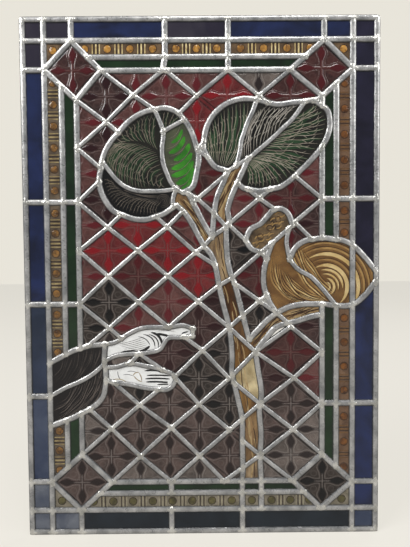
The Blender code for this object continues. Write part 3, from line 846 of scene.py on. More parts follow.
def puddle(mesh_data, middle, arms, face):
    """One puddle of solder on a joint: it runs out along each came in lumps and thins to nothing."""
    grime_and_shade = grime_and_shade_layer(mesh_data)
    x0, z0 = middle
    size = 1 + PUDDLE_VARIES * wavy(x0, z0, face * 5.0, 0.9)
    rings = []
    for share in PUDDLE_RINGS:
        ring = []
        for k in range(1 if share == 0 else PUDDLE_SIDES):
            angle = 2 * math.pi * k / PUDDLE_SIDES
            reach = PUDDLE_REACH * size
            for heading, _ in arms:
                off = math.remainder(angle - heading, 2 * math.pi)
                reach += PUDDLE_ARM * math.exp(-((off / PUDDLE_ARM_ANGLE) ** 2))
            beside = (x0 + 9 * math.cos(angle), z0 + 9 * math.sin(angle))
            reach *= 1 + PUDDLE_VARIES * wavy(*beside, face * 7.0, 0.21)
            x = x0 + share * reach * math.cos(angle)
            z = z0 + share * reach * math.sin(angle)
            x, z = on_panel(x, z, PUDDLE_INSET)
            height = face_under(x, z, middle, arms)
            height += 0.4 * (1 - share**2) + 0.3 * wavy(x, z, face * 3.0, 0.55) * (1.1 - share) - 0.1 * share
            height = max(FLANGE_INSIDE + 0.05, min(SOLDER_TOP - 0.02, height))
            vert = mesh_data.verts.new((x * MM, face * height * MM, z * MM))
            # the solder darkens towards the puddle's rim: painted shade and grime
            vert[grime_and_shade] = share**2
            ring.append(vert)
        rings.append(ring)
    foot = [mesh_data.verts.new((v.co.x, face * FLANGE_INSIDE * MM, v.co.z)) for v in rings[-1]]
    rings.append(foot)
    for k in range(PUDDLE_SIDES):
        mesh_data.faces.new((rings[0][0], rings[1][k], rings[1][(k + 1) % PUDDLE_SIDES]))
    for near, far in zip(rings[1:], rings[2:]):
        walled(mesh_data, near, far)
    mesh_data.faces.new(foot)


def lead_and_solder(joints, pieces, paths, strips, filled):
    """The swept cames in three groups, and the solder on their joints and in the filled gaps."""
    groups = {
        "border_cames": ("edge", "band", "ring", "diamond", "bar"),
        "lattice_cames": ("lattice", "tie"),
        "figure_cames": ("figure",),
    }
    for name, kinds in groups.items():
        mesh_data = bmesh.new()
        for kind, width, points in strips:
            if kind in kinds:
                sweep(mesh_data, points, width, kind in ("edge", "band", "bar"))
        piece = finished(name, mesh_data, [FINISH["lead"]])
        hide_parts("lead_network_with_quarries")
    arms = {}
    for (a, b), points in paths.items():
        half = pieces[a, b][1] / 2
        for joint, ahead in ((a, points[1]), (b, points[-2])):
            heading = math.atan2(ahead[1] - joints[joint][1], ahead[0] - joints[joint][0])
            arms.setdefault(joint, []).append((heading, half))
    mesh_data = bmesh.new()
    for joint, met in arms.items():
        bend = abs(math.remainder(met[0][0] - met[1][0], 2 * math.pi)) if len(met) == 2 else 0
        if bend > RUNS_ON:
            continue
        for face in (-1, 1):
            puddle(mesh_data, joints[joint], met, face)
    for outline in filled:
        for face in (-1, 1):
            top = [mesh_data.verts.new((x * MM, face * FILLED_TOP * MM, z * MM)) for x, z in outline]
            foot = [mesh_data.verts.new((x * MM, 0, z * MM)) for x, z in outline]
            mesh_data.faces.new(top)
            mesh_data.faces.new(foot[::-1])
            walled(mesh_data, top, foot)
    piece = finished("solder_joints", mesh_data, [FINISH["solder"]])
    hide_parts("lead_network_with_quarries")


# Panes: how far the glass's faces lie from the panel's middle, and how close the points of a pressed
# quarry's and of a stamped strip's relief lie
GLASS_FACE = 1.5
QUARRY_GRID = 1.15
STAMP_GRID = 1.3


def cut_pane(name, outline, finishes, marks=(), relief=None, spacing=0.0, place=None):
    """One pane: a front face with its marks and relief, a plain back, and edges between.

    A mark is (outline, number of its finish), and place gives the pattern's own coordinates.
    """
    spots = [Vector(point) for point in outline]
    faces = [list(range(len(outline)))]
    for polygon, _ in marks:
        faces.append(list(range(len(spots), len(spots) + len(polygon))))
        spots += [Vector(point) for point in (polygon if area(polygon) > 0 else polygon[::-1])]
    if spacing:
        low_x, high_x = span(outline, 0)
        low_z, high_z = span(outline, 1)
        for row in range(math.ceil((high_z - low_z) / spacing)):
            for column in range(math.ceil((high_x - low_x) / spacing) + 1):
                spot = (low_x + (column + 0.5 * (row % 2)) * spacing, low_z + (row + 0.5) * spacing)
                if inside(spot, outline) and edge_gap(spot, outline) > spacing * 0.4:
                    spots.append(Vector(spot))
    found, _, triangles, _, _, origins = delaunay_2d_cdt(spots, [], faces, 1, 1e-5)
    mesh_data = bmesh.new()
    places = mesh_data.loops.layers.uv.new("pattern") if place else None
    verts = {}
    for corners, origin in zip(triangles, origins):
        if 0 not in origin:
            continue
        for k in corners:
            if k not in verts:
                x, z = found[k]
                lift = relief(x, z) if relief else 0.0
                verts[k] = mesh_data.verts.new((x * MM, -(GLASS_FACE + lift) * MM, z * MM))
        face = mesh_data.faces.new([verts[k] for k in corners])
        face.material_index = max([marks[k - 1][1] for k in origin if k], default=0)
    rim = [edge for edge in mesh_data.edges if edge.is_boundary]
    made = bmesh.ops.extrude_edge_only(mesh_data, edges=rim)["geom"]
    for vert in made:
        if isinstance(vert, bmesh.types.BMVert):
            vert.co.y = GLASS_FACE * MM
    walls = [face for face in made if isinstance(face, bmesh.types.BMFace)]
    back_edges = [edge for edge in made if isinstance(edge, bmesh.types.BMEdge) and edge.is_boundary]
    back = bmesh.ops.triangle_fill(mesh_data, use_beauty=True, edges=back_edges)["geom"]
    for face in walls + [face for face in back if isinstance(face, bmesh.types.BMFace)]:
        face.material_index = 0
    if place:
        for face in mesh_data.faces:
            for loop in face.loops:
                loop[places].uv = place(loop.vert.co.x / MM, loop.vert.co.z / MM)
    return finished(name, mesh_data, finishes)


def edge_gap(point, outline):
    """The distance from a point to the nearest edge of an outline."""
    return min(share_along(point, a, b)[1] for a, b in zip(outline, outline[1:] + outline[:1]))


# Drawing

def arc(start, end, bow, count=10):
    """Points on a bend between two places; bow is how far it swings aside, as a share of its length."""
    (x0, z0), (x1, z1) = start, end
    middle = ((x0 + x1) / 2 - (z1 - z0) * bow * 2, (z0 + z1) / 2 + (x1 - x0) * bow * 2)
    points = []
    for k in range(count + 1):
        t = k / count
        points.append(
            tuple((1 - t) ** 2 * a + 2 * t * (1 - t) * m + t * t * b for a, m, b in zip(start, middle, end))
        )
    return points


def around(centre, radius, first, last, count):
    """Points round a centre between two angles in degrees."""
    points = []
    for k in range(count + 1):
        t = k / count
        angle = math.radians(first + (last - first) * t)
        points.append((centre[0] + radius * math.cos(angle), centre[1] + radius * math.sin(angle)))
    return points


def stroke(points, width, thin_start=0.3, thin_end=0.15):
    """The outline of one brush stroke or scratch along a path, thinner at its ends."""
    left = []
    right = []
    for k, (x, z) in enumerate(points):
        before = points[max(k - 1, 0)]
        after = points[min(k + 1, len(points) - 1)]
        size = math.dist(before, after) or 1.0
        t = k / (len(points) - 1)
        swell = min(1.0, thin_start + 4 * t, thin_end + 4 * (1 - t)) * width / 2
        dx, dz = (after[1] - before[1]) / size * swell, -(after[0] - before[0]) / size * swell
        left.append((x + dx, z + dz))
        right.append((x - dx, z - dz))
    return left + right[::-1]


DISC_SIDES = 20


def disc(centre, radius):
    """A round outline."""
    return around(centre, radius, 0, 360 - 360 / DISC_SIDES, DISC_SIDES - 1)


def bar_across(strip, at, width):
    """An outline right across a strip: strip is (axis along, low side, high side)."""
    axis, low, high = strip
    corners = [(at - width / 2, low), (at + width / 2, low), (at + width / 2, high), (at - width / 2, high)]
    return corners if axis == "x" else [(b, a) for a, b in corners]


# Shader helpers

def fill(tree, node, inputs):
    """A node, with its inputs set or linked."""
    for name, value in inputs.items():
        if isinstance(value, bpy.types.NodeSocket):
            tree.links.new(value, node.inputs[name])
        else:
            node.inputs[name].default_value = value
    return node


def add(tree, kind, inputs=None, **settings):
    """A new node with its settings, and its inputs set or linked."""
    node = tree.nodes.new(kind)
    for name, value in settings.items():
        setattr(node, name, value)
    return fill(tree, node, inputs or {})


def maths(tree, operation, *values):
    """The output of a Math node."""
    return add(tree, "ShaderNodeMath", dict(enumerate(values)), operation=operation).outputs[0]


def ramp(tree, value, first, last, low=0.0, high=1.0):
    """The output of a Map Range node: low where the value is first, high where it is last."""
    ends = {"Value": value, "From Min": first, "From Max": last, "To Min": low, "To Max": high}
    return add(tree, "ShaderNodeMapRange", ends).outputs[0]


def mixed(tree, factor, first, second):
    """The output of a colour Mix node."""
    return add(tree, "ShaderNodeMix", {0: factor, 6: first, 7: second}, data_type="RGBA").outputs[2]


def tinted(colour, amount):
    """A colour that many times as light."""
    return tuple(amount * part for part in colour)


def rgb(colour):
    """A colour with its fourth number."""
    return (*colour, 1.0)


def new_group(name, inputs, outputs):
    """An empty node group with named sockets."""
    group = bpy.data.node_groups.new(name, "ShaderNodeTree")
    for direction, sockets in (("INPUT", inputs), ("OUTPUT", outputs)):
        for label, kind in sockets.items():
            group.interface.new_socket(name=label, in_out=direction, socket_type="NodeSocket" + kind)
    return group, group.nodes.new("NodeGroupInput").outputs, group.nodes.new("NodeGroupOutput").inputs


def clouded_group():
    """Two tones of one glass drifting into each other, with seeds and a wavy surface."""
    group, given, out = new_group(
        "clouded_glass",
        {"Vector": "Vector", "Light": "Color", "Dark": "Color", "Scale": "Float", "Seeds": "Float"},
        {"Color": "Color", "Height": "Float"},
    )
    where, scale = given["Vector"], given["Scale"]
    drift = add(
        group, "ShaderNodeTexNoise",
        {"Vector": where, "Scale": scale, "Detail": 4.0, "Roughness": 0.55, "Distortion": 0.6},
    )
    seeds = add(
        group, "ShaderNodeTexVoronoi", {"Vector": where, "Scale": maths(group, "MULTIPLY", scale, 9.0)},
    )
    dots = ramp(group, seeds.outputs["Distance"], 0.16, 0.08)
    amount = maths(group, "MULTIPLY", dots, given["Seeds"])
    tone = mixed(group, ramp(group, drift.outputs["Fac"], 0.34, 0.66), given["Dark"], given["Light"])
    group.links.new(mixed(group, amount, tone, given["Light"]), out["Color"])
    slow = maths(group, "MULTIPLY", scale, 2.2)
    wave = add(group, "ShaderNodeTexNoise", {"Vector": where, "Scale": slow, "Detail": 2.0})
    height = maths(group, "ADD", wave.outputs["Fac"], maths(group, "MULTIPLY", amount, 0.3))
    group.links.new(height, out["Height"])
    return group


# Half width of the pressed cross along its arm, both as shares of the quarry's half diagonal
CROSS_SHAPE = [
    (0.0, 0.03), (0.1, 0.036), (0.25, 0.04), (0.36, 0.07), (0.47, 0.115), (0.56, 0.125), (0.66, 0.085),
    (0.76, 0.035), (0.84, 0.0), (1.0, 0.0),
]


def cross_half(p):
    """The cross's half width at a share of the half diagonal."""
    for (p0, w0), (p1, w1) in zip(CROSS_SHAPE, CROSS_SHAPE[1:]):
        if p <= p1:
            return w0 + (w1 - w0) * (p - p0) / (p1 - p0)
    return 0.0


def folded(u, v):
    """A place on the pressed sheet, brought into the quarry round its nearest cross."""
    across = (u + v + 1) % 2 - 1
    down = (u - v + 1) % 2 - 1
    return (across + down) / 2, (across - down) / 2


# The pressed relief: how far the cross and the ridge round it stand out, and how deep the line along
# the quarry's edges is sunk
CROSS_LIFT = 0.3
RIDGE_LIFT = 0.12
GROOVE_DEPTH = 0.2


def quarry_relief(place):
    """How far the pressed pattern stands out at a place on a quarry."""
    def relief(x, z):
        u, v = (abs(value) for value in folded(*place(x, z)))
        p, q = max(u, v), min(u, v)
        gap = cross_half(min(p, 1.0)) - q
        cross = CROSS_LIFT * max(0.0, min(1.0, gap / 0.05 + 0.5))
        ridge = RIDGE_LIFT * math.exp(-((gap + 0.075) / 0.03) ** 2)
        rim = 1 - (u + v)
        return cross + ridge - GROOVE_DEPTH * math.exp(-((rim - 0.09) / 0.035) ** 2)
    return relief


def pressed_group():
    """The pressed cross of a quarry: a leafy cross, its raised outlines and the sunk line along the edges."""
    group, given, out = new_group(
        "pressed_cross",
        {"Place": "Vector", "Cross": "Color", "Ground": "Color", "Outline": "Color"},
        {"Color": "Color", "Height": "Float"},
    )

    def calc(operation, *values):
        return maths(group, operation, *values)

    def band(value, middle, first, last, high=1.0):
        return ramp(group, calc("ABSOLUTE", calc("SUBTRACT", value, middle)), first, last, high=high)

    parts = add(group, "ShaderNodeSeparateXYZ", {"Vector": given["Place"]}).outputs
    across = calc("WRAP", calc("ADD", parts["X"], parts["Y"]), 1.0, -1.0)
    down = calc("WRAP", calc("SUBTRACT", parts["X"], parts["Y"]), 1.0, -1.0)
    u = calc("MULTIPLY", calc("ABSOLUTE", calc("ADD", across, down)), 0.5)
    v = calc("MULTIPLY", calc("ABSOLUTE", calc("SUBTRACT", across, down)), 0.5)
    p = calc("MAXIMUM", u, v)
    q = calc("MINIMUM", u, v)
    shape = add(group, "ShaderNodeFloatCurve", {"Value": p})
    curve = shape.mapping.curves[0]
    for n, (x, y) in enumerate(CROSS_SHAPE):
        if n < 2:
            curve.points[n].location = (x, y)
        else:
            curve.points.new(x, y)
    shape.mapping.update()
    gap = calc("SUBTRACT", shape.outputs[0], q)
    rim = calc("SUBTRACT", 1.0, calc("ADD", u, v))
    wide = calc("SUBTRACT", u, 0.3)
    tall = calc("SUBTRACT", v, 0.3)
    curl = calc("SQRT", calc("ADD", calc("MULTIPLY", wide, wide), calc("MULTIPLY", tall, tall)))
    cross = ramp(group, gap, -0.02, 0.012)
    line = band(gap, -0.062, 0.03, 0.008)
    groove = band(rim, 0.1, 0.05, 0.01)
    heart = calc("MULTIPLY", ramp(group, q, 0.022, 0.008), ramp(group, p, 0.32, 0.22))
    tendril = band(curl, 0.105, 0.022, 0.006, 0.3)
    border = band(rim, 0.17, 0.026, 0.008, 0.4)
    lines = calc("MAXIMUM", calc("MULTIPLY", line, 0.6), heart)
    lines = calc("MAXIMUM", lines, calc("MAXIMUM", tendril, border))
    shade = mixed(group, calc("MULTIPLY", groove, 0.8), given["Ground"], (0.003, 0.002, 0.002, 1.0))
    tone = mixed(group, cross, shade, given["Cross"])
    group.links.new(mixed(group, lines, tone, given["Outline"]), out["Color"])
    height = calc("ADD", calc("MULTIPLY", cross, 0.5), calc("MULTIPLY", line, 0.4))
    group.links.new(calc("SUBTRACT", height, calc("MULTIPLY", groove, 0.3)), out["Height"])
    return group


def place_node(tree):
    """Where a point is on the panel, in the shader's own metres."""
    return add(tree, "ShaderNodeTexCoord").outputs["Object"]


def new_material(name):
    """A material, its node tree and its shader."""
    made = bpy.data.materials.new(name)
    made.use_nodes = True
    return made, made.node_tree, made.node_tree.nodes["Principled BSDF"]


GLASS_IOR = 1.5


def glass(name, light, dark, scale=16.0, seeds=0.3, clear=0.5, roughness=0.12, bump=0.25, stretch=(1, 1, 1)):
    """A glass or paint of two tones. clear is how much light goes through it."""
    made, tree, shader = new_material(name)
    spread = add(tree, "ShaderNodeMapping", {"Vector": place_node(tree), "Scale": stretch})
    tones = {
        "Vector": spread.outputs[0], "Light": rgb(light), "Dark": rgb(dark), "Scale": scale, "Seeds": seeds,
    }
    cloud = add(tree, "ShaderNodeGroup", tones, node_tree=GROUP["clouded_glass"])
    lumps = add(
        tree, "ShaderNodeBump", {"Height": cloud.outputs["Height"], "Strength": bump, "Distance": 0.0006},
    )
    surface = {"Base Color": cloud.outputs["Color"], "Normal": lumps.outputs[0], "Roughness": roughness}
    fill(tree, shader, {**surface, "IOR": GLASS_IOR, "Transmission Weight": clear})
    made.diffuse_color = rgb(light)
    return made


def pressed_glass(name, cross, ground, outline):
    """Quarry glass with its pressed cross, clouded over the whole sheet."""
    made = glass(name, tinted(ground, 1.9), tinted(ground, 0.7), scale=38.0)
    tree = made.node_tree
    nodes = {node.type: node for node in tree.nodes}
    cloud = nodes["GROUP"].outputs
    place = add(tree, "ShaderNodeUVMap", uv_map="pattern").outputs[0]
    tones = {"Place": place, "Cross": rgb(cross), "Ground": cloud["Color"], "Outline": rgb(outline)}
    press = add(tree, "ShaderNodeGroup", tones, node_tree=GROUP["pressed_cross"]).outputs
    heights = maths(tree, "ADD", press["Height"], maths(tree, "MULTIPLY", cloud["Height"], 0.9))
    fill(tree, nodes["BUMP"], {"Height": heights, "Strength": 0.6, "Distance": 0.0007})
    fill(tree, nodes["BSDF_PRINCIPLED"], {"Base Color": press["Color"], "Roughness": 0.2})
    return made


def metal(name, light, dark, roughness, metallic, wrinkle):
    """Lead or solder: dull, uneven metal with grime and painted shade darkening its edges, and paler worn
    places.
    """
    made, tree, shader = new_material(name)
    where = place_node(tree)
    drift = add(tree, "ShaderNodeTexNoise", {"Vector": where, "Scale": 60.0, "Detail": 5.0, "Roughness": 0.6})
    fine = add(
        tree, "ShaderNodeTexNoise", {"Vector": where, "Scale": wrinkle, "Detail": 3.0, "Distortion": 1.2},
    )
    fine = fine.outputs["Fac"]
    worn = mixed(tree, ramp(tree, drift.outputs["Fac"], 0.35, 0.65), rgb(dark), rgb(light))
    pattern = add(tree, "ShaderNodeUVMap", uv_map="pattern").outputs[0]
    across = add(tree, "ShaderNodeSeparateXYZ", {"Vector": pattern}).outputs["X"]
    ragged = maths(tree, "ADD", across, maths(tree, "MULTIPLY", fine, 0.3))
    # painted shade and grime: the lead darkens towards each came's edges and each puddle's rim
    grime_and_shade_colour = mixed(tree, ramp(tree, ragged, 0.80, 1.02, high=0.92), worn, rgb(tinted(dark, 0.22)))
    rough = ramp(tree, fine, 0.3, 0.7, roughness - 0.08, roughness + 0.1)
    lumps = add(tree, "ShaderNodeBump", {"Height": fine, "Strength": 0.5, "Distance": 0.0008}).outputs[0]
    fill(tree, shader, {"Base Color": grime_and_shade_colour, "Roughness": rough, "Normal": lumps, "Metallic": metallic})
    made.diffuse_color = rgb(light)
    return made


GROUP = {"clouded_glass": clouded_group(), "pressed_cross": pressed_group()}
# Quarry glass: the tones of its cross, of its ground and of the cross's outline. The cross tones are partly
# the glass's own and partly painted light: bright red where light comes through, near black where none does
PRESSED = {
    "backlit_ruby": ((0.24, 0.006, 0.010), (0.105, 0.014, 0.014), (0.17, 0.065, 0.060)),
    "rose": ((0.12, 0.010, 0.014), (0.082, 0.032, 0.028), (0.19, 0.11, 0.10)),
    "ruby": ((0.080, 0.006, 0.008), (0.046, 0.016, 0.014), (0.13, 0.07, 0.06)),
    "maroon": ((0.025, 0.004, 0.005), (0.038, 0.018, 0.016), (0.16, 0.11, 0.10)),
    "plum": ((0.020, 0.011, 0.010), (0.068, 0.045, 0.039), (0.20, 0.165, 0.15)),
    "smoke": ((0.003, 0.002, 0.002), (0.030, 0.022, 0.018), (0.20, 0.17, 0.15)),
    "pale_plum": ((0.024, 0.016, 0.015), (0.100, 0.080, 0.070), (0.26, 0.23, 0.21)),
    "dark_ruby": ((0.020, 0.003, 0.003), (0.022, 0.008, 0.007), (0.10, 0.06, 0.055)),
}
# Other glass and paint: the light tone, the dark tone, and what else glass() is told
GRAIN = dict(scale=42.0, stretch=(2.2, 1, 0.6))
BORDER_SHEET = dict(scale=22.0, seeds=0.2)
PLAIN = {
    "blue": ((0.018, 0.030, 0.105), (0.009, 0.012, 0.032), BORDER_SHEET),
    "violet_blue": ((0.050, 0.044, 0.062), (0.024, 0.020, 0.038), BORDER_SHEET),
    "deep_violet": ((0.022, 0.020, 0.046), (0.010, 0.009, 0.020), BORDER_SHEET),
    "night_blue": ((0.016, 0.024, 0.034), (0.007, 0.011, 0.016), BORDER_SHEET),
    "hazy_blue": ((0.080, 0.100, 0.155), (0.020, 0.034, 0.080), dict(scale=20.0, seeds=0.3)),
    "dusk_blue": ((0.034, 0.050, 0.095), (0.014, 0.024, 0.050), dict(scale=22.0, seeds=0.3)),
    "light_bark": ((0.48, 0.35, 0.20), (0.17, 0.11, 0.062), GRAIN),
    "amber_bark": ((0.36, 0.20, 0.055), (0.13, 0.060, 0.018), GRAIN),
    "pale_haze": ((0.20, 0.215, 0.25), (0.060, 0.075, 0.115), dict(scale=22.0, seeds=0.3)),
    "bottle_green": ((0.013, 0.040, 0.013), (0.006, 0.016, 0.006), BORDER_SHEET),
    "amber": ((0.22, 0.14, 0.075), (0.085, 0.052, 0.028), dict(scale=60.0)),
    "russet": ((0.22, 0.13, 0.075), (0.11, 0.06, 0.036), dict(scale=60.0)),
    "olive": ((0.31, 0.27, 0.20), (0.16, 0.14, 0.10), dict(scale=60.0)),
    "stud": ((0.75, 0.38, 0.075), (0.16, 0.065, 0.020), dict(scale=150.0, bump=0.8)),
    "russet_stud": ((0.26, 0.095, 0.020), (0.065, 0.025, 0.010), dict(scale=130.0, bump=0.8)),
    "dark_stud": ((0.15, 0.13, 0.045), (0.045, 0.040, 0.016), dict(scale=130.0, bump=0.8)),
    "old_amber": ((0.20, 0.15, 0.10), (0.070, 0.052, 0.038), dict(scale=60.0)),
    "old_stud": ((0.36, 0.175, 0.045), (0.070, 0.032, 0.014), dict(scale=150.0, bump=0.8)),
    "old_gilt": ((0.42, 0.33, 0.15), (0.17, 0.12, 0.055), dict(scale=120.0, clear=0.3)),
    "sap_green": ((0.040, 0.100, 0.040), (0.014, 0.042, 0.016), dict(scale=30.0)),
    "pale_vein": ((0.42, 0.36, 0.29), (0.19, 0.16, 0.12), dict(scale=80.0, clear=0.3)),
    "crease": ((0.42, 0.34, 0.20), (0.25, 0.19, 0.11), dict(scale=80.0, clear=0.1)),
    "gilt": ((0.92, 0.78, 0.42), (0.42, 0.30, 0.11), dict(scale=150.0, clear=0.3)),
    "pale_line": ((0.36, 0.32, 0.22), (0.22, 0.19, 0.13), dict(scale=120.0, clear=0.3)),
    "umber": ((0.030, 0.018, 0.012), (0.016, 0.010, 0.008), dict(scale=120.0, clear=0.1)),
    "leaf_shade": ((0.026, 0.024, 0.017), (0.010, 0.010, 0.008), dict(scale=30.0)),
    "leaf_dark": ((0.010, 0.009, 0.008), (0.004, 0.004, 0.004), dict(scale=30.0)),
    "leaf_green": ((0.026, 0.070, 0.028), (0.010, 0.030, 0.012), dict(scale=30.0)),
    "leaf_vein": ((0.24, 0.20, 0.155), (0.11, 0.095, 0.070), dict(scale=80.0, clear=0.3)),
    "dim_vein": ((0.145, 0.12, 0.095), (0.055, 0.045, 0.036), dict(scale=80.0, clear=0.3)),
    "dim_scratch": ((0.070, 0.056, 0.047), (0.018, 0.014, 0.012), dict(scale=60.0, clear=0.3)),
    "bright_vein": ((0.50, 0.46, 0.40), (0.20, 0.18, 0.15), dict(scale=80.0, clear=0.3)),
    "lobe_shade": ((0.12, 0.13, 0.075), (0.045, 0.052, 0.034), dict(scale=40.0)),
    # painted light: the lit lobe's bright green stands in for light coming through the leaf
    "lit_green": ((0.075, 0.50, 0.026), (0.025, 0.21, 0.014), dict(scale=50.0, clear=0.6)),
    "bark": ((0.22, 0.11, 0.035), (0.075, 0.035, 0.014), GRAIN),
    "dark_bark": ((0.12, 0.045, 0.010), (0.035, 0.014, 0.004), GRAIN),
    "pale_bark": ((0.34, 0.21, 0.095), (0.11, 0.058, 0.024), GRAIN),
    "bark_light": ((0.60, 0.46, 0.24), (0.30, 0.18, 0.07), dict(scale=42.0)),
    "honey": ((0.20, 0.095, 0.020), (0.065, 0.025, 0.006), GRAIN),
    "straw": ((0.78, 0.66, 0.40), (0.32, 0.24, 0.115), dict(scale=36.0)),
    "gold": ((0.30, 0.165, 0.055), (0.12, 0.055, 0.019), dict(scale=30.0)),
    "mid_gold": ((0.56, 0.36, 0.135), (0.27, 0.15, 0.05), dict(scale=60.0)),
    "pale_gold": ((0.92, 0.74, 0.38), (0.66, 0.45, 0.16), dict(scale=60.0)),
    "burnt_gold": ((0.060, 0.026, 0.010), (0.028, 0.013, 0.007), dict(scale=60.0)),
    "bud_gold": ((0.26, 0.175, 0.09), (0.045, 0.029, 0.017), dict(scale=75.0, seeds=0.7)),
    "black_paint": ((0.008, 0.006, 0.006), (0.004, 0.003, 0.003), dict(clear=0.1, roughness=0.1)),
    "scratched": ((0.15, 0.12, 0.10), (0.040, 0.032, 0.028), dict(scale=60.0, clear=0.3)),
    "opal_white": ((0.90, 0.90, 0.88), (0.74, 0.74, 0.71), dict(scale=50.0, clear=0.2, seeds=0.05)),
    "line_paint": ((0.012, 0.011, 0.011), (0.006, 0.006, 0.006), dict(clear=0.0, roughness=0.3)),
}
FINISH = {
    "lead": metal("lead", (0.54, 0.53, 0.51), (0.27, 0.27, 0.265), 0.31, 0.65, 200.0),
    "solder": metal("solder", (0.84, 0.82, 0.76), (0.46, 0.45, 0.41), 0.23, 0.8, 420.0),
    **{name: pressed_glass(name, *tones) for name, tones in PRESSED.items()},
    **{name: glass(name, light, dark, **rest) for name, (light, dark, rest) in PLAIN.items()},
}

# Which tone each quarry gets, by how many half quarries its middle lies across and down the ground:
# partly its own glass and partly painted light, brighter towards the top middle and darker low down. The rest
# is maroon.
QUARRY_GLASS = {
    "backlit_ruby": [(4, 2), (4, 8), (2, 6), (1, 7), (3, 7)],
    "rose": [
        (3, 1), (4, 0), (2, 0), (2, 2), (0, 2), (0, 4), (0, 6), (0, 8), (2, 10), (3, 9), (5, 5), (4, 6),
        (6, 6), (8, 4), (8, 12),
    ],
    "ruby": [(7, 1), (4, 4), (7, 5), (7, 11), (2, 8), (6, 8), (7, 3), (5, 3), (3, 3)],
    "smoke": [(1, 9), (0, 10), (4, 12), (5, 13), (5, 7), (2, 12), (6, 10)],
    "dark_ruby": [(3, 5), (5, 9)],
    "plum": [
        (1, 13), (3, 13), (2, 14), (1, 15), (3, 15), (5, 15), (4, 14), (7, 13), (6, 14),
    ],
    "pale_plum": [(7, 15), (2, 16), (4, 16), (6, 16), (0, 14), (8, 14), (6, 0), (1, 11)],
}


def quarry_cell(point):
    """The quarry a pane was cut from: (across, down) of its middle, and its own coordinates from -1 to 1."""
    best = None
    for across in range(HALF_QUARRIES_ACROSS + 1):
        for down in range(across % 2, HALF_QUARRIES_DOWN + 1, 2):
            (x, z), reach_x, reach_z = cell_frame(across, down)
            off = abs(point[0] - x) / reach_x + abs(point[1] - z) / reach_z
            if best is None or off < best[0]:
                best = (off, across, down)
    return best[1:]


def cell_frame(across, down):
    """A quarry's middle and its two half diagonals."""
    pitch_x = (GREEN_LINE["right"] - GREEN_LINE["left"]) / HALF_QUARRIES_ACROSS
    pitch_z = (GREEN_LINE["top"] - GREEN_LINE["bottom"]) / HALF_QUARRIES_DOWN
    x_share = across / HALF_QUARRIES_ACROSS
    z_share = down / HALF_QUARRIES_DOWN
    x = GREEN_LINE["left"] + across * pitch_x + SIDEWAYS_BOW * math.sin(math.pi * x_share)
    z = GREEN_LINE["top"] - down * pitch_z + UPWARD_BOW * math.sin(math.pi * z_share)
    return (x, z), pitch_x, pitch_z


def placer(middle, reach_x, reach_z):
    """A function from a place on the panel to a quarry's own coordinates."""
    return lambda x, z: ((x - middle[0]) / reach_x, (z - middle[1]) / reach_z)


def quarry_pane(name, outline, finish, frame_of_cell, *nodes):
    """One pressed quarry or a piece cut from one."""
    place = placer(*frame_of_cell)
    relief = quarry_relief(place)
    piece = cut_pane(name, outline, [FINISH[finish]], (), relief, QUARRY_GRID, place)
    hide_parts(*nodes)


# Line work of the figure's panes, in the cartoon's millimetres

# How many steps a line of a fan has, and the angle at which finer scratches leave it
FAN_STEPS = 16
BARB_ANGLE = 0.42


def fountain(starts, ends, count, bow, bend=0.0):
    """Lines that fan out from one line of places to another."""
    lines = []
    for n in range(count):
        share = n / (count - 1)
        swing = bow + bend * share + 0.05 * wavy(n * 2.7, 3.0, 5.0, 0.8)
        points = arc(along_line(starts, share), along_line(ends, share), swing, FAN_STEPS)
        (x0, z0), (x1, z1) = points[0], points[-1]
        size = math.dist(points[0], points[-1])
        drawn = []
        for k, (x, z) in enumerate(points):
            fade = min(1.0, size / 40) * math.sin(math.pi * k / FAN_STEPS)
            shift = fade * math.sin(0.16 * size * k / FAN_STEPS + 1.3 * n)
            drawn.append((x - shift * (z1 - z0) / size, z + shift * (x1 - x0) / size))
        lines.append(drawn)
    return lines


def along_line(places, share):
    """The place at a share of the way along a line of places, counted in its places."""
    at = share * (len(places) - 1)
    k = min(int(at), len(places) - 2)
    (x0, z0), (x1, z1) = places[k], places[k + 1]
    return (x0 + (x1 - x0) * (at - k), z0 + (z1 - z0) * (at - k))


def plumes(starts, ends, count, bow, bend=0.0, petal=4.2, vein=0.75, barb=8.0):
    """Green petals between scratched veins that fan out, with finer scratches leaving the veins."""
    petals = [stroke(points, petal, 0.1, 0.1) for points in fountain(starts, ends, count, bow, bend)]
    veins = []
    for points in fountain(starts, ends, count * 2 - 1, bow, bend):
        veins.append(stroke(points, vein))
        for k in range(3, len(points) - 2, 3):
            (x0, z0), (x1, z1) = points[k], points[k + 1]
            heading = math.atan2(z1 - z0, x1 - x0)
            side = -1 if (k // 3) % 2 else 1
            length = barb * (1 + 0.3 * wavy(x0, z0, 2.0, 0.3))
            turned = heading + side * BARB_ANGLE
            tip = (x0 + length * math.cos(turned), z0 + length * math.sin(turned))
            veins.append(stroke(arc((x0, z0), tip, -side * 0.14, 7), vein * 0.75))
    return petals, veins


def left_leaf_veins():
    """Plumes that leave the fold of the left leaf: some rise, most turn over and fall."""
    rising = plumes(
        [(-56, 503), (-66, 511), (-76, 514), (-88, 515), (-100, 515)],
        [(-57, 548), (-70, 547), (-84, 537), (-98, 526), (-112, 512)], 6, 0.12, 0.10,
    )
    falling = plumes(
        [(-104, 513), (-92, 512), (-80, 511), (-68, 507), (-58, 500), (-54, 490), (-48, 468)],
        [(-122, 494), (-121, 482), (-114, 468), (-101, 460), (-88, 456), (-72, 455), (-50, 457)],
        13, -0.14, -0.16,
    )
    return [a + b for a, b in zip(rising, falling)]


def tip_veins():
    """The few veins of the left leaf's tip."""
    return plumes(
        [(-47, 529), (-44, 530), (-40, 532)],
        [(-52, 551), (-40, 552), (-26, 546)], 3, 0.10, petal=3.0, barb=4.0,
    )


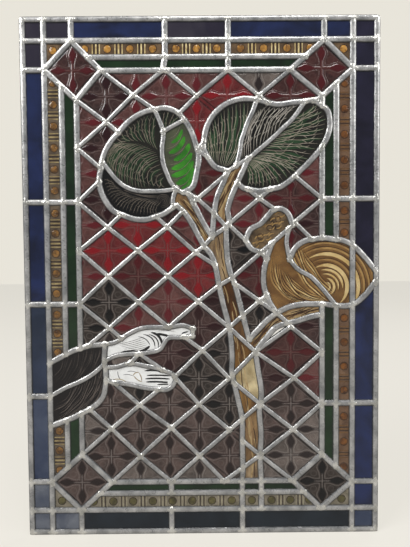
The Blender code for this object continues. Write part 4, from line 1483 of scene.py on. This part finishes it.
def underside_veins():
    """Veins of the leaf's turned-up underside, sweeping back from a curl."""
    sweeping = plumes(
        [(-112, 460), (-100, 450), (-86, 444), (-72, 441), (-60, 440), (-52, 436)],
        [(-124, 466), (-121, 446), (-110, 431), (-93, 423), (-74, 420), (-58, 421)],
        11, -0.10, -0.12, petal=3.2, barb=4.0,
    )
    curl = [stroke(around((-49, 438), 1.8 + 2.2 * n, 210, -120, 16), 0.7) for n in range(4)]
    top = [stroke(arc((-100, 452 + 0.5 * n), (-54, 445 - 1.6 * n), -0.06), 0.6) for n in range(3)]
    return sweeping[0], sweeping[1] + curl + top


def lit_lobe_strokes():
    """The strokes of clear bright green on the lit lobe, painted light where light comes through the leaf,
    and the scratches between them.
    """
    petals = [
        ((-38, 512), (-24, 529), 4.4), ((-41, 499), (-21, 520), 6.0), ((-35, 490), (-15, 511), 6.8),
        ((-38, 479), (-12, 499), 7.4), ((-38, 470), (-10, 489), 7.4), ((-32, 460), (-9, 480), 7.8),
        ((-27, 451), (-9, 470), 7.8), ((-23, 446), (-12, 459), 6.0),
    ]
    lit = [stroke(arc(a, b, -0.14, 12), width, 0.3, 0.3) for a, b, width in petals]
    scratches = [
        stroke(arc((a[0] - 5, a[1] + 5), (b[0] - 3, b[1] + 3), -0.16, 12), 0.5) for a, b, _ in petals
    ]
    return lit, scratches


def left_lobe_veins():
    """Plumes of the right leaf's left lobe."""
    return plumes(
        [(14, 490), (22, 484), (30, 481), (37, 483)],
        [(8, 520), (16, 540), (30, 554), (48, 562), (66, 562)], 8, 0.02, -0.10, petal=4.6, barb=6.0,
    )


def middle_veins():
    """Plumes above the right leaf's rib."""
    return plumes(
        [(48, 488), (54, 492), (64, 498), (80, 511), (100, 529)],
        [(55, 515), (70, 548), (86, 559), (108, 558), (126, 559)],
        9, 0.10, 0.04, petal=3.6, vein=1.0, barb=9.0,
    )


def lower_half_veins():
    """Plumes below the right leaf's rib, from its tip round to the stalk's end."""
    upper = plumes(
        [(112, 535), (100, 521), (88, 510), (76, 499), (68, 491)],
        [(150, 559), (161, 541), (156, 516), (138, 490), (122, 474)], 9, -0.02, 0.10, petal=4.6, barb=10.0,
    )
    lower = plumes(
        [(66, 492), (64, 490), (60, 488), (56, 484)],
        [(122, 474), (100, 459), (80, 455), (60, 457)], 7, 0.12, 0.10, petal=4.6, barb=6.0,
    )
    return [a + b for a, b in zip(upper, lower)]


def gourd_swirls():
    """The gourd's brushed swirls: dull gold, then pale crescents, with burnt lines between them."""
    middle = (160.4, 325)
    crescents = [
        (6, 85, -60, 2.4), (11.5, 80, -52, 3.2), (17, 102, -12, 2.2), (22.5, 104, -4, 3.0),
        (28.4, 118, -48, 5.0), (43, 122, -44, 4.8),
    ]
    dull = [(35.5, 118, -44, 2.6), (50.5, 132, -36, 2.6), (57, 140, -40, 2.2), (63, 140, -40, 1.8)]
    pale = [stroke(around(middle, r, a, b, 30), width, 0.1, 0.1) for r, a, b, width in crescents]
    mid = [stroke(around(middle, r, a, b, 30), width, 0.1, 0.1) for r, a, b, width in dull]
    burnt = [
        stroke(around(middle, r + 0.5 * width + 0.7, a + 6, b - 6, 30), 1.1, 0.1, 0.1)
        for r, a, b, width in crescents + dull
    ]
    flow = fountain(
        [(94, 378), (99, 366), (104, 355), (110, 345)],
        [(150, 304), (154, 305), (158, 307), (161, 311)], 14, -0.34, 0.22,
    ) + fountain(
        [(113, 388), (118, 388), (123, 386), (127, 380)],
        [(160, 306), (166, 309), (170, 313), (172, 318)], 8, -0.14, 0.10,
    )
    for n, points in enumerate(flow):
        pale_one = n in (3, 8, 9, 11, 15, 18, 20)
        (pale if pale_one else mid).append(stroke(points[2:], 1.5 if pale_one else 2.0, 0.1, 0.1))
        burnt.append(stroke([(x + 1.6, z + 0.6) for x, z in points[1:]], 0.8, 0.1, 0.1))
    burnt += [stroke(arc((112 + 3 * n, 300), (118 + 3 * n, 310), 0.1, 6), 0.9) for n in range(3)]
    return mid, pale, burnt


def bud_marks():
    """Mottled pale patches and small rings on the bud."""
    patches = []
    for n in range(26):
        x = 64 + 38 * (n * 0.618 % 1)
        z = 380 + 0.72 * (x - 64) + 26 * (n * 0.414 % 1) - 8
        tip = (x + 7, z + 4 + 3 * wavy(x, z, 1.0, 0.5))
        patches.append(stroke(arc((x, z), tip, 0.2 * (-1) ** n, 7), 1.6))
    rings = [
        stroke(around(centre, 3.6, 0, 350, 18), 1.1, 1, 1) for centre in ((88, 402), (76, 391), (99, 413))
    ]
    return patches, rings


def bark_streaks(spine):
    """Long streaks that follow a stalk."""
    pale = []
    dark = []
    for n in range(40):
        t = n / 40
        k = min(len(spine) - 2, int(t * (len(spine) - 1)))
        (x0, z0), (x1, z1) = spine[k], spine[k + 1]
        size = math.dist((x0, z0), (x1, z1))
        side = ((z1 - z0) / size, -(x1 - x0) / size)
        part = t * (len(spine) - 1) - k
        off = 9.0 * wavy(n * 3.7, 0.5, 1.0, 0.9)
        x = x0 + (x1 - x0) * part + side[0] * off
        z = z0 + (z1 - z0) * part + side[1] * off
        tip = (x + (x1 - x0) / size * 24, z + (z1 - z0) / size * 24)
        (pale if n % 3 else dark).append(stroke(arc((x, z), tip, 0.05 * (-1) ** n, 8), 1.7 if n % 3 else 1.3))
    return pale, dark


def bends(rows):
    """Strokes on bends, from rows of a start, an end, a bow, a width and how thin the two ends are."""
    return [stroke(arc(start, end, bow), *rest) for start, end, bow, *rest in rows]


def upper_hand_lines():
    """Outlines and joints of the pointing hand: dark lines, then finer creases."""
    dark = bends([
        ((-106, 242), (-86, 243.5), 0.04, 1.8),
        ((-90, 242.5), (-69, 249.5), -0.12, 3.4, 0.3, 0.5),
        ((-77, 265), (-62, 247), 0.22, 1.6),
        ((-70, 265), (-58, 246), 0.24, 1.6),
        ((-84, 262), (-68, 250), 0.16, 1.2),
        ((-67, 267.5), (-53, 251), 0.20, 3.2, 0.3, 0.3),
        ((-60, 265.5), (-44, 262.5), 0.03, 3.2, 0.4, 0.2),
        ((-46, 262), (-30, 263), 0.02, 1.5),
        ((-27, 265.5), (-18, 268), 0.06, 1.9),
    ])
    fine = [
        stroke(arc((-110 + 2 * n, 252.5 - 1.7 * n), (-76 + n, 262 - 2.6 * n), -0.03), 0.6) for n in range(6)
    ]
    fine += [stroke(arc((-60, 269), (-34, 268), 0.04), 0.5), stroke(arc((-122, 250), (-108, 256), 0.05), 0.5)]
    return dark, fine


def lower_hand_lines():
    """Gaps between the open hand's fingers, and brown creases in its palm."""
    dark = bends([
        ((-76, 217), (-56, 216.5), 0.05, 2.4, 0.2, 0.3),
        ((-66, 220), (-52, 214), 0.05, 3.0, 0.2, 0.2),
        ((-73, 211), (-42, 210), 0.02, 2.0, 0.5, 0.4),
        ((-75, 206.6), (-43, 206), 0.02, 2.2, 0.5, 0.4),
        ((-74, 202.4), (-46, 201.5), 0.02, 2.4, 0.4, 1.0),
        ((-60, 198.6), (-45, 199), 0.02, 1.8, 0.2, 0.5),
        ((-111, 217), (-107, 205), -0.1, 0.9),
        ((-99, 216), (-86, 215), 0.1, 0.7),
        ((-104, 212), (-90, 210), 0.1, 0.7),
    ])
    creases = bends([
        ((-91, 211), (-83, 215), 0.2, 1.3),
        ((-90, 210.5), (-79, 202.5), -0.1, 1.3),
        ((-83.5, 214.5), (-80, 203), 0.1, 1.3),
        ((-117, 206), (-100, 203), 0.1, 1.2),
    ])
    return dark, creases


def sleeve_scratches(starts, ends, count, bow):
    """Pale scratches, some broad and some fine, that follow the folds of a sleeve."""
    drawn = []
    for n, points in enumerate(fountain(starts, ends, count, bow)):
        shift = 3.0 * wavy(n * 2.3, 1.0, 4.0, 0.8)
        wide = (0.5, 1.5, 0.6, 0.4, 1.1)[n % 5]
        drawn.append(stroke([(x + shift, z) for x, z in points[n % 3 : FAN_STEPS + 1 - n % 4]], wide))
    return drawn


def numbered(*groups):
    """Marks from lists of outlines, the first list wearing finish number 1."""
    return [(outline, number) for number, group in enumerate(groups, start=1) for outline in group]


# Stamped strips: the studs, the dark ring round each, how far they stand out, and the stripes
STUD_RADIUS = 4.7
STUD_RING = 5.6
STUD_FOOT = 5.0
STUD_LIFT = 0.55
STRIPE_PITCH = 2.3
STRIPE_WIDTH = 1.2
MIDDLE_STRIPE_WIDTH = 1.9


def stamped_strip(name, outline, along, finish, pitch, stud, line, stripes):
    """A border strip with round studs and groups of cross stripes stamped along it."""
    other = 1 - along
    low, high = span(outline, along)
    side_low, side_high = span(outline, other)
    middle = (side_low + side_high) / 2
    strip = ("xz"[along], side_low - 1, side_high + 1)
    studs = []
    dark = []
    lines = []
    centres = []
    count = max(1, round((high - low) / pitch))
    for n in range(count):
        at = low + (n + 0.5) * (high - low) / count
        centre = (at, middle) if along == 0 else (middle, at)
        if count == 1:
            centre = tuple(sum(p[axis] for p in outline) / len(outline) for axis in (0, 1))
        centres.append(centre)
        studs.append(disc(centre, STUD_RADIUS))
        dark.append(disc(centre, STUD_RING))
        between = at + (high - low) / count / 2
        if n < count - 1:
            for k in range(stripes):
                shift = (k - (stripes - 1) / 2) * STRIPE_PITCH
                wide = MIDDLE_STRIPE_WIDTH if k == stripes // 2 else STRIPE_WIDTH
                (lines if k % 2 == 0 else dark).append(bar_across(strip, between + shift, wide))

    def dome(x, z):
        gap = min(math.dist((x, z), centre) for centre in centres)
        return STUD_LIFT * max(0.0, 1 - (gap / STUD_FOOT) ** 2)

    finishes = [FINISH[finish], FINISH["umber"], FINISH[line], FINISH[stud]]
    piece = cut_pane(name, outline, finishes, numbered(dark, lines, studs), dome, STAMP_GRID)
    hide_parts("lead_network_with_quarries")


# How each pane of a leaf is drawn, then its ground and what its petals and veins are painted with
LEAF_PAINT = {
    "left_leaf_blade": (left_leaf_veins, "leaf_shade", "leaf_green", "leaf_vein"),
    "left_leaf_tip": (tip_veins, "leaf_shade", "leaf_green", "leaf_vein"),
    "left_leaf_underside": (underside_veins, "leaf_dark", "leaf_shade", "dim_vein"),
    # the lit lobe's bright green petals are painted light
    "left_leaf_lit_lobe": (lit_lobe_strokes, "lobe_shade", "lit_green", "leaf_vein"),
    "right_leaf_left_lobe": (left_lobe_veins, "leaf_shade", "sap_green", "pale_vein"),
    "right_leaf_middle": (middle_veins, "leaf_shade", "leaf_dark", "bright_vein"),
    "right_leaf_lower_half": (lower_half_veins, "leaf_shade", "sap_green", "pale_vein"),
}
# What a sleeve's scratches are, where they start and end, how many there are and how they bow
SLEEVE_FOLDS = {
    "upper_sleeve": (
        "dim_scratch", [(-131, 252), (-146, 249), (-164, 243), (-182, 236)],
        [(-146, 216), (-168, 204), (-190, 194), (-199, 208)], 15, 0.13,
    ),
    "lower_sleeve": (
        "scratched", [(-127, 206), (-132, 222), (-148, 213), (-170, 202)],
        [(-152, 169), (-174, 158), (-196, 150), (-199, 172)], 19, 0.14,
    ),
}


def figure_marks(name):
    """The finishes and marks of a named pane of the figure."""
    if name in LEAF_PAINT:
        draw, *wanted = LEAF_PAINT[name]
        return wanted, numbered(*draw())
    if name.startswith("gourd"):
        return ["gold", "mid_gold", "pale_gold", "burnt_gold"], numbered(*gourd_swirls())
    if name == "bud":
        return ["bud_gold", "mid_gold", "burnt_gold"], numbered(*bud_marks())
    if name == "upper_hand":
        return ["opal_white", "line_paint", "umber"], numbered(*upper_hand_lines())
    if name == "lower_hand":
        return ["opal_white", "line_paint", "crease"], numbered(*lower_hand_lines())
    if name in SLEEVE_FOLDS:
        scratch, *folds = SLEEVE_FOLDS[name]
        return ["black_paint", scratch], numbered(sleeve_scratches(*folds))
    spine = {
        "left_stalk": [(-28, 440), (-14, 424), (-4, 408), (8, 385)],
        "right_stalk": [(54, 486), (38, 458), (27, 436), (24, 400)],
        "branch": [(65, 249), (82, 268), (105, 284)],
        "branch_end": [(105, 284), (130, 292), (156, 296)],
    }.get(name, [(20, 395), (26, 355), (42, 290), (50, 240), (55, 200), (60, 150), (65, 110), (64, 60)])
    ground = {
        "trunk_1": "light_bark", "trunk_2": "dark_bark", "trunk_3": "honey", "trunk_4": "straw",
        "trunk_5": "amber_bark", "trunk_8": "light_bark", "branch": "bark",
    }
    return [ground.get(name, "pale_bark"), "bark_light", "burnt_gold"], numbered(*bark_streaks(spine))


def blue_finish(x, z):
    """Which sheet a border pane was cut from."""
    if z < 30:
        return "pale_haze" if x < -165 else ("night_blue" if x < 190 else "hazy_blue")
    if x < -200 and z < 300:
        return "pale_haze" if z < 60 else ("hazy_blue" if z < 170 else "dusk_blue")
    if x > 200 and z > 380:
        return "deep_violet"
    if x < -150 and z > 590 or abs(x + 5) < 30 and z > 600:
        return "violet_blue"
    return "blue"


# How far apart a strip's studs are, what the studs and the stripes are made of, and how many stripes
STAMPS = {
    "amber": (29, "stud", "gilt", 5),
    "old_amber": (28, "old_stud", "old_gilt", 5),
    "russet": (31, "russet_stud", "bark", 5),
    "olive": (26, "dark_stud", "pale_line", 5),
}


def strip_kind(middle):
    """What a pane between the blue band and the ground is: (finish, axis along), or None."""
    x, z = middle
    if in_blue_band(middle):
        return None
    if not (AMBER_LINE["left"] < x < AMBER_LINE["right"] and AMBER_LINE["bottom"] < z < AMBER_LINE["top"]):
        if z < AMBER_LINE["bottom"]:
            return "olive", 0
        if z > AMBER_LINE["top"]:
            return "amber", 0
        return ("old_amber" if x < 0 else "russet"), 1
    if not (GREEN_LINE["left"] < x < GREEN_LINE["right"] and GREEN_LINE["bottom"] < z < GREEN_LINE["top"]):
        return "bottle_green", 0
    return None


# The low corner diamonds take dark tones: partly painted light, darker low down as in the quarries
LOW_CORNER_GLASS = {"bottom_left_corner_diamond": "plum", "bottom_right_corner_diamond": "smoke"}


def glaze(joints, loops, free, paths):
    """Cuts every pane and puts it in its opening."""
    named = named_panes([[joints[k] for k in loop] if space else [] for loop, space in zip(loops, free)])
    count = {}
    for number, (loop, space) in enumerate(zip(loops, free)):
        if not space:
            continue
        outline = opening_of(loop, paths, REBATE) or space
        middle = middle_of(space)
        name, finish = named.get(number, (None, None))
        if name and name.startswith("blue_border"):
            piece = cut_pane(name + "_glass", outline, [FINISH[blue_finish(*middle)]])
            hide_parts(name)
        elif name and name.endswith("corner_diamond"):
            (low_x, high_x), (low_z, high_z) = span(outline, 0), span(outline, 1)
            centre = ((low_x + high_x) / 2, (low_z + high_z) / 2)
            sheet = LOW_CORNER_GLASS.get(name, "ruby")
            own_cell = (centre, (high_x - low_x) / 2, (high_z - low_z) / 2)
            quarry_pane(name + "_glass", outline, sheet, own_cell, name)
        elif name and finish != "quarry":
            wanted, marks = figure_marks(name)
            finishes = [FINISH[key] for key in wanted]
            piece = cut_pane(name + "_glass", outline, finishes, marks)
            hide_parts(name)
        elif strip_kind(middle):
            sheet, along = strip_kind(middle)
            count[sheet] = count.get(sheet, 0) + 1
            label = f"{sheet}_strip_{count[sheet]:02d}"
            if sheet == "bottle_green":
                piece = cut_pane(label, outline, [FINISH[sheet]])
                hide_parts("lead_network_with_quarries")
            else:
                stamped_strip(label, outline, along, sheet, *STAMPS[sheet])
        else:
            cell = quarry_cell(middle)
            sheet = next((key for key, cells in QUARRY_GLASS.items() if cell in cells), "maroon")
            count["quarry"] = count.get("quarry", 0) + 1
            label = name + "_glass" if name else f"quarry_{count['quarry']:02d}"
            quarry_pane(label, outline, sheet, cell_frame(*cell), name or "lead_network_with_quarries")


# Lamps: place, size in metres and power in watts. They face the panel's middle.
LAMPS = {
    "window_left": ((-2.1, -1.5, 2.2), 1.5, 90.0),
    "window_right": ((1.7, -0.9, 1.3), 1.2, 16.0),
    "ceiling": ((0.3, -1.4, 3.0), 1.0, 45.0),
    "behind": ((1.7, 1.5, 2.0), 1.0, 14.0),
}
LAMPS_FACE = (0, 0, 0.33)
# The camera: place, what it looks at, roll in degrees, lens and sensor
CAMERA_PLACE = (0.0018, -0.5852, 0.364)
CAMERA_AIM = (0.004, 0, 0.3437)
CAMERA_ROLL = -0.458
CAMERA_LENS = 29.62
CAMERA_SENSOR = 36.0
FLOOR_HALF = 6


def by_ray(tree, bounced, straight):
    """A colour for bounced light, and another for rays from the camera or straight through the glass."""
    path = add(tree, "ShaderNodeLightPath").outputs
    seen = maths(tree, "MAXIMUM", path["Is Camera Ray"], path["Is Transmission Ray"])
    return mixed(tree, seen, bounced, straight)


def facing(place, aim):
    """The turn that points a lamp or a camera from its place at another."""
    return (Vector(aim) - Vector(place)).to_track_quat("-Z", "Y")


def stage_and_light():
    """The floor, the soft light and the camera."""
    world = bpy.data.worlds.new("studio")
    bpy.context.scene.world = world
    world.use_nodes = True
    room = by_ray(world.node_tree, (0.27, 0.28, 0.30, 1), (0.81, 0.78, 0.70, 1))
    fill(world.node_tree, world.node_tree.nodes["Background"], {"Color": room})
    mesh = bpy.data.meshes.new("floor")
    corners = [(-1, -1), (1, -1), (1, 1), (-1, 1)]
    mesh.from_pydata([(x * FLOOR_HALF, y * FLOOR_HALF, 0) for x, y in corners], [], [(0, 1, 2, 3)])
    made, tree, shader = new_material("floor")
    glow = by_ray(tree, (0.30, 0.29, 0.27, 1), (0.665, 0.64, 0.573, 1))
    dull = {"Base Color": (0.12, 0.115, 0.11, 1), "Roughness": 0.9}
    fill(tree, shader, {**dull, "Emission Color": glow, "Emission Strength": 1.0})
    mesh.materials.append(made)
    floor = placed("floor", mesh)
    for name, (spot, size, power) in LAMPS.items():
        lamp = bpy.data.lights.new(name, "AREA")
        lamp.size = size
        lamp.energy = power
        holder = placed(name, lamp)
        holder.location = spot
        holder.rotation_euler = facing(spot, LAMPS_FACE).to_euler()
    camera = bpy.data.cameras.new("camera")
    camera.lens = CAMERA_LENS
    camera.sensor_width = CAMERA_SENSOR
    eye = placed("camera", camera)
    roll = Matrix.Rotation(math.radians(CAMERA_ROLL), 4, "Z")
    turn = facing(CAMERA_PLACE, CAMERA_AIM).to_matrix().to_4x4()
    eye.matrix_world = Matrix.Translation(CAMERA_PLACE) @ turn @ roll
    bpy.context.scene.camera = eye
    bpy.context.scene.view_settings.view_transform = "Standard"


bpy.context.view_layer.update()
joints, pieces, lines, loops = came_layout()
paths, strips = came_paths(joints, pieces, lines)
free = [opening(joints, pieces, loop) for loop in loops]
filled = [[joints[k] for k in loop] for loop, space in zip(loops, free) if not space]
lead_and_solder(joints, pieces, paths, strips, filled)
glaze(joints, loops, free, paths)
stage_and_light()
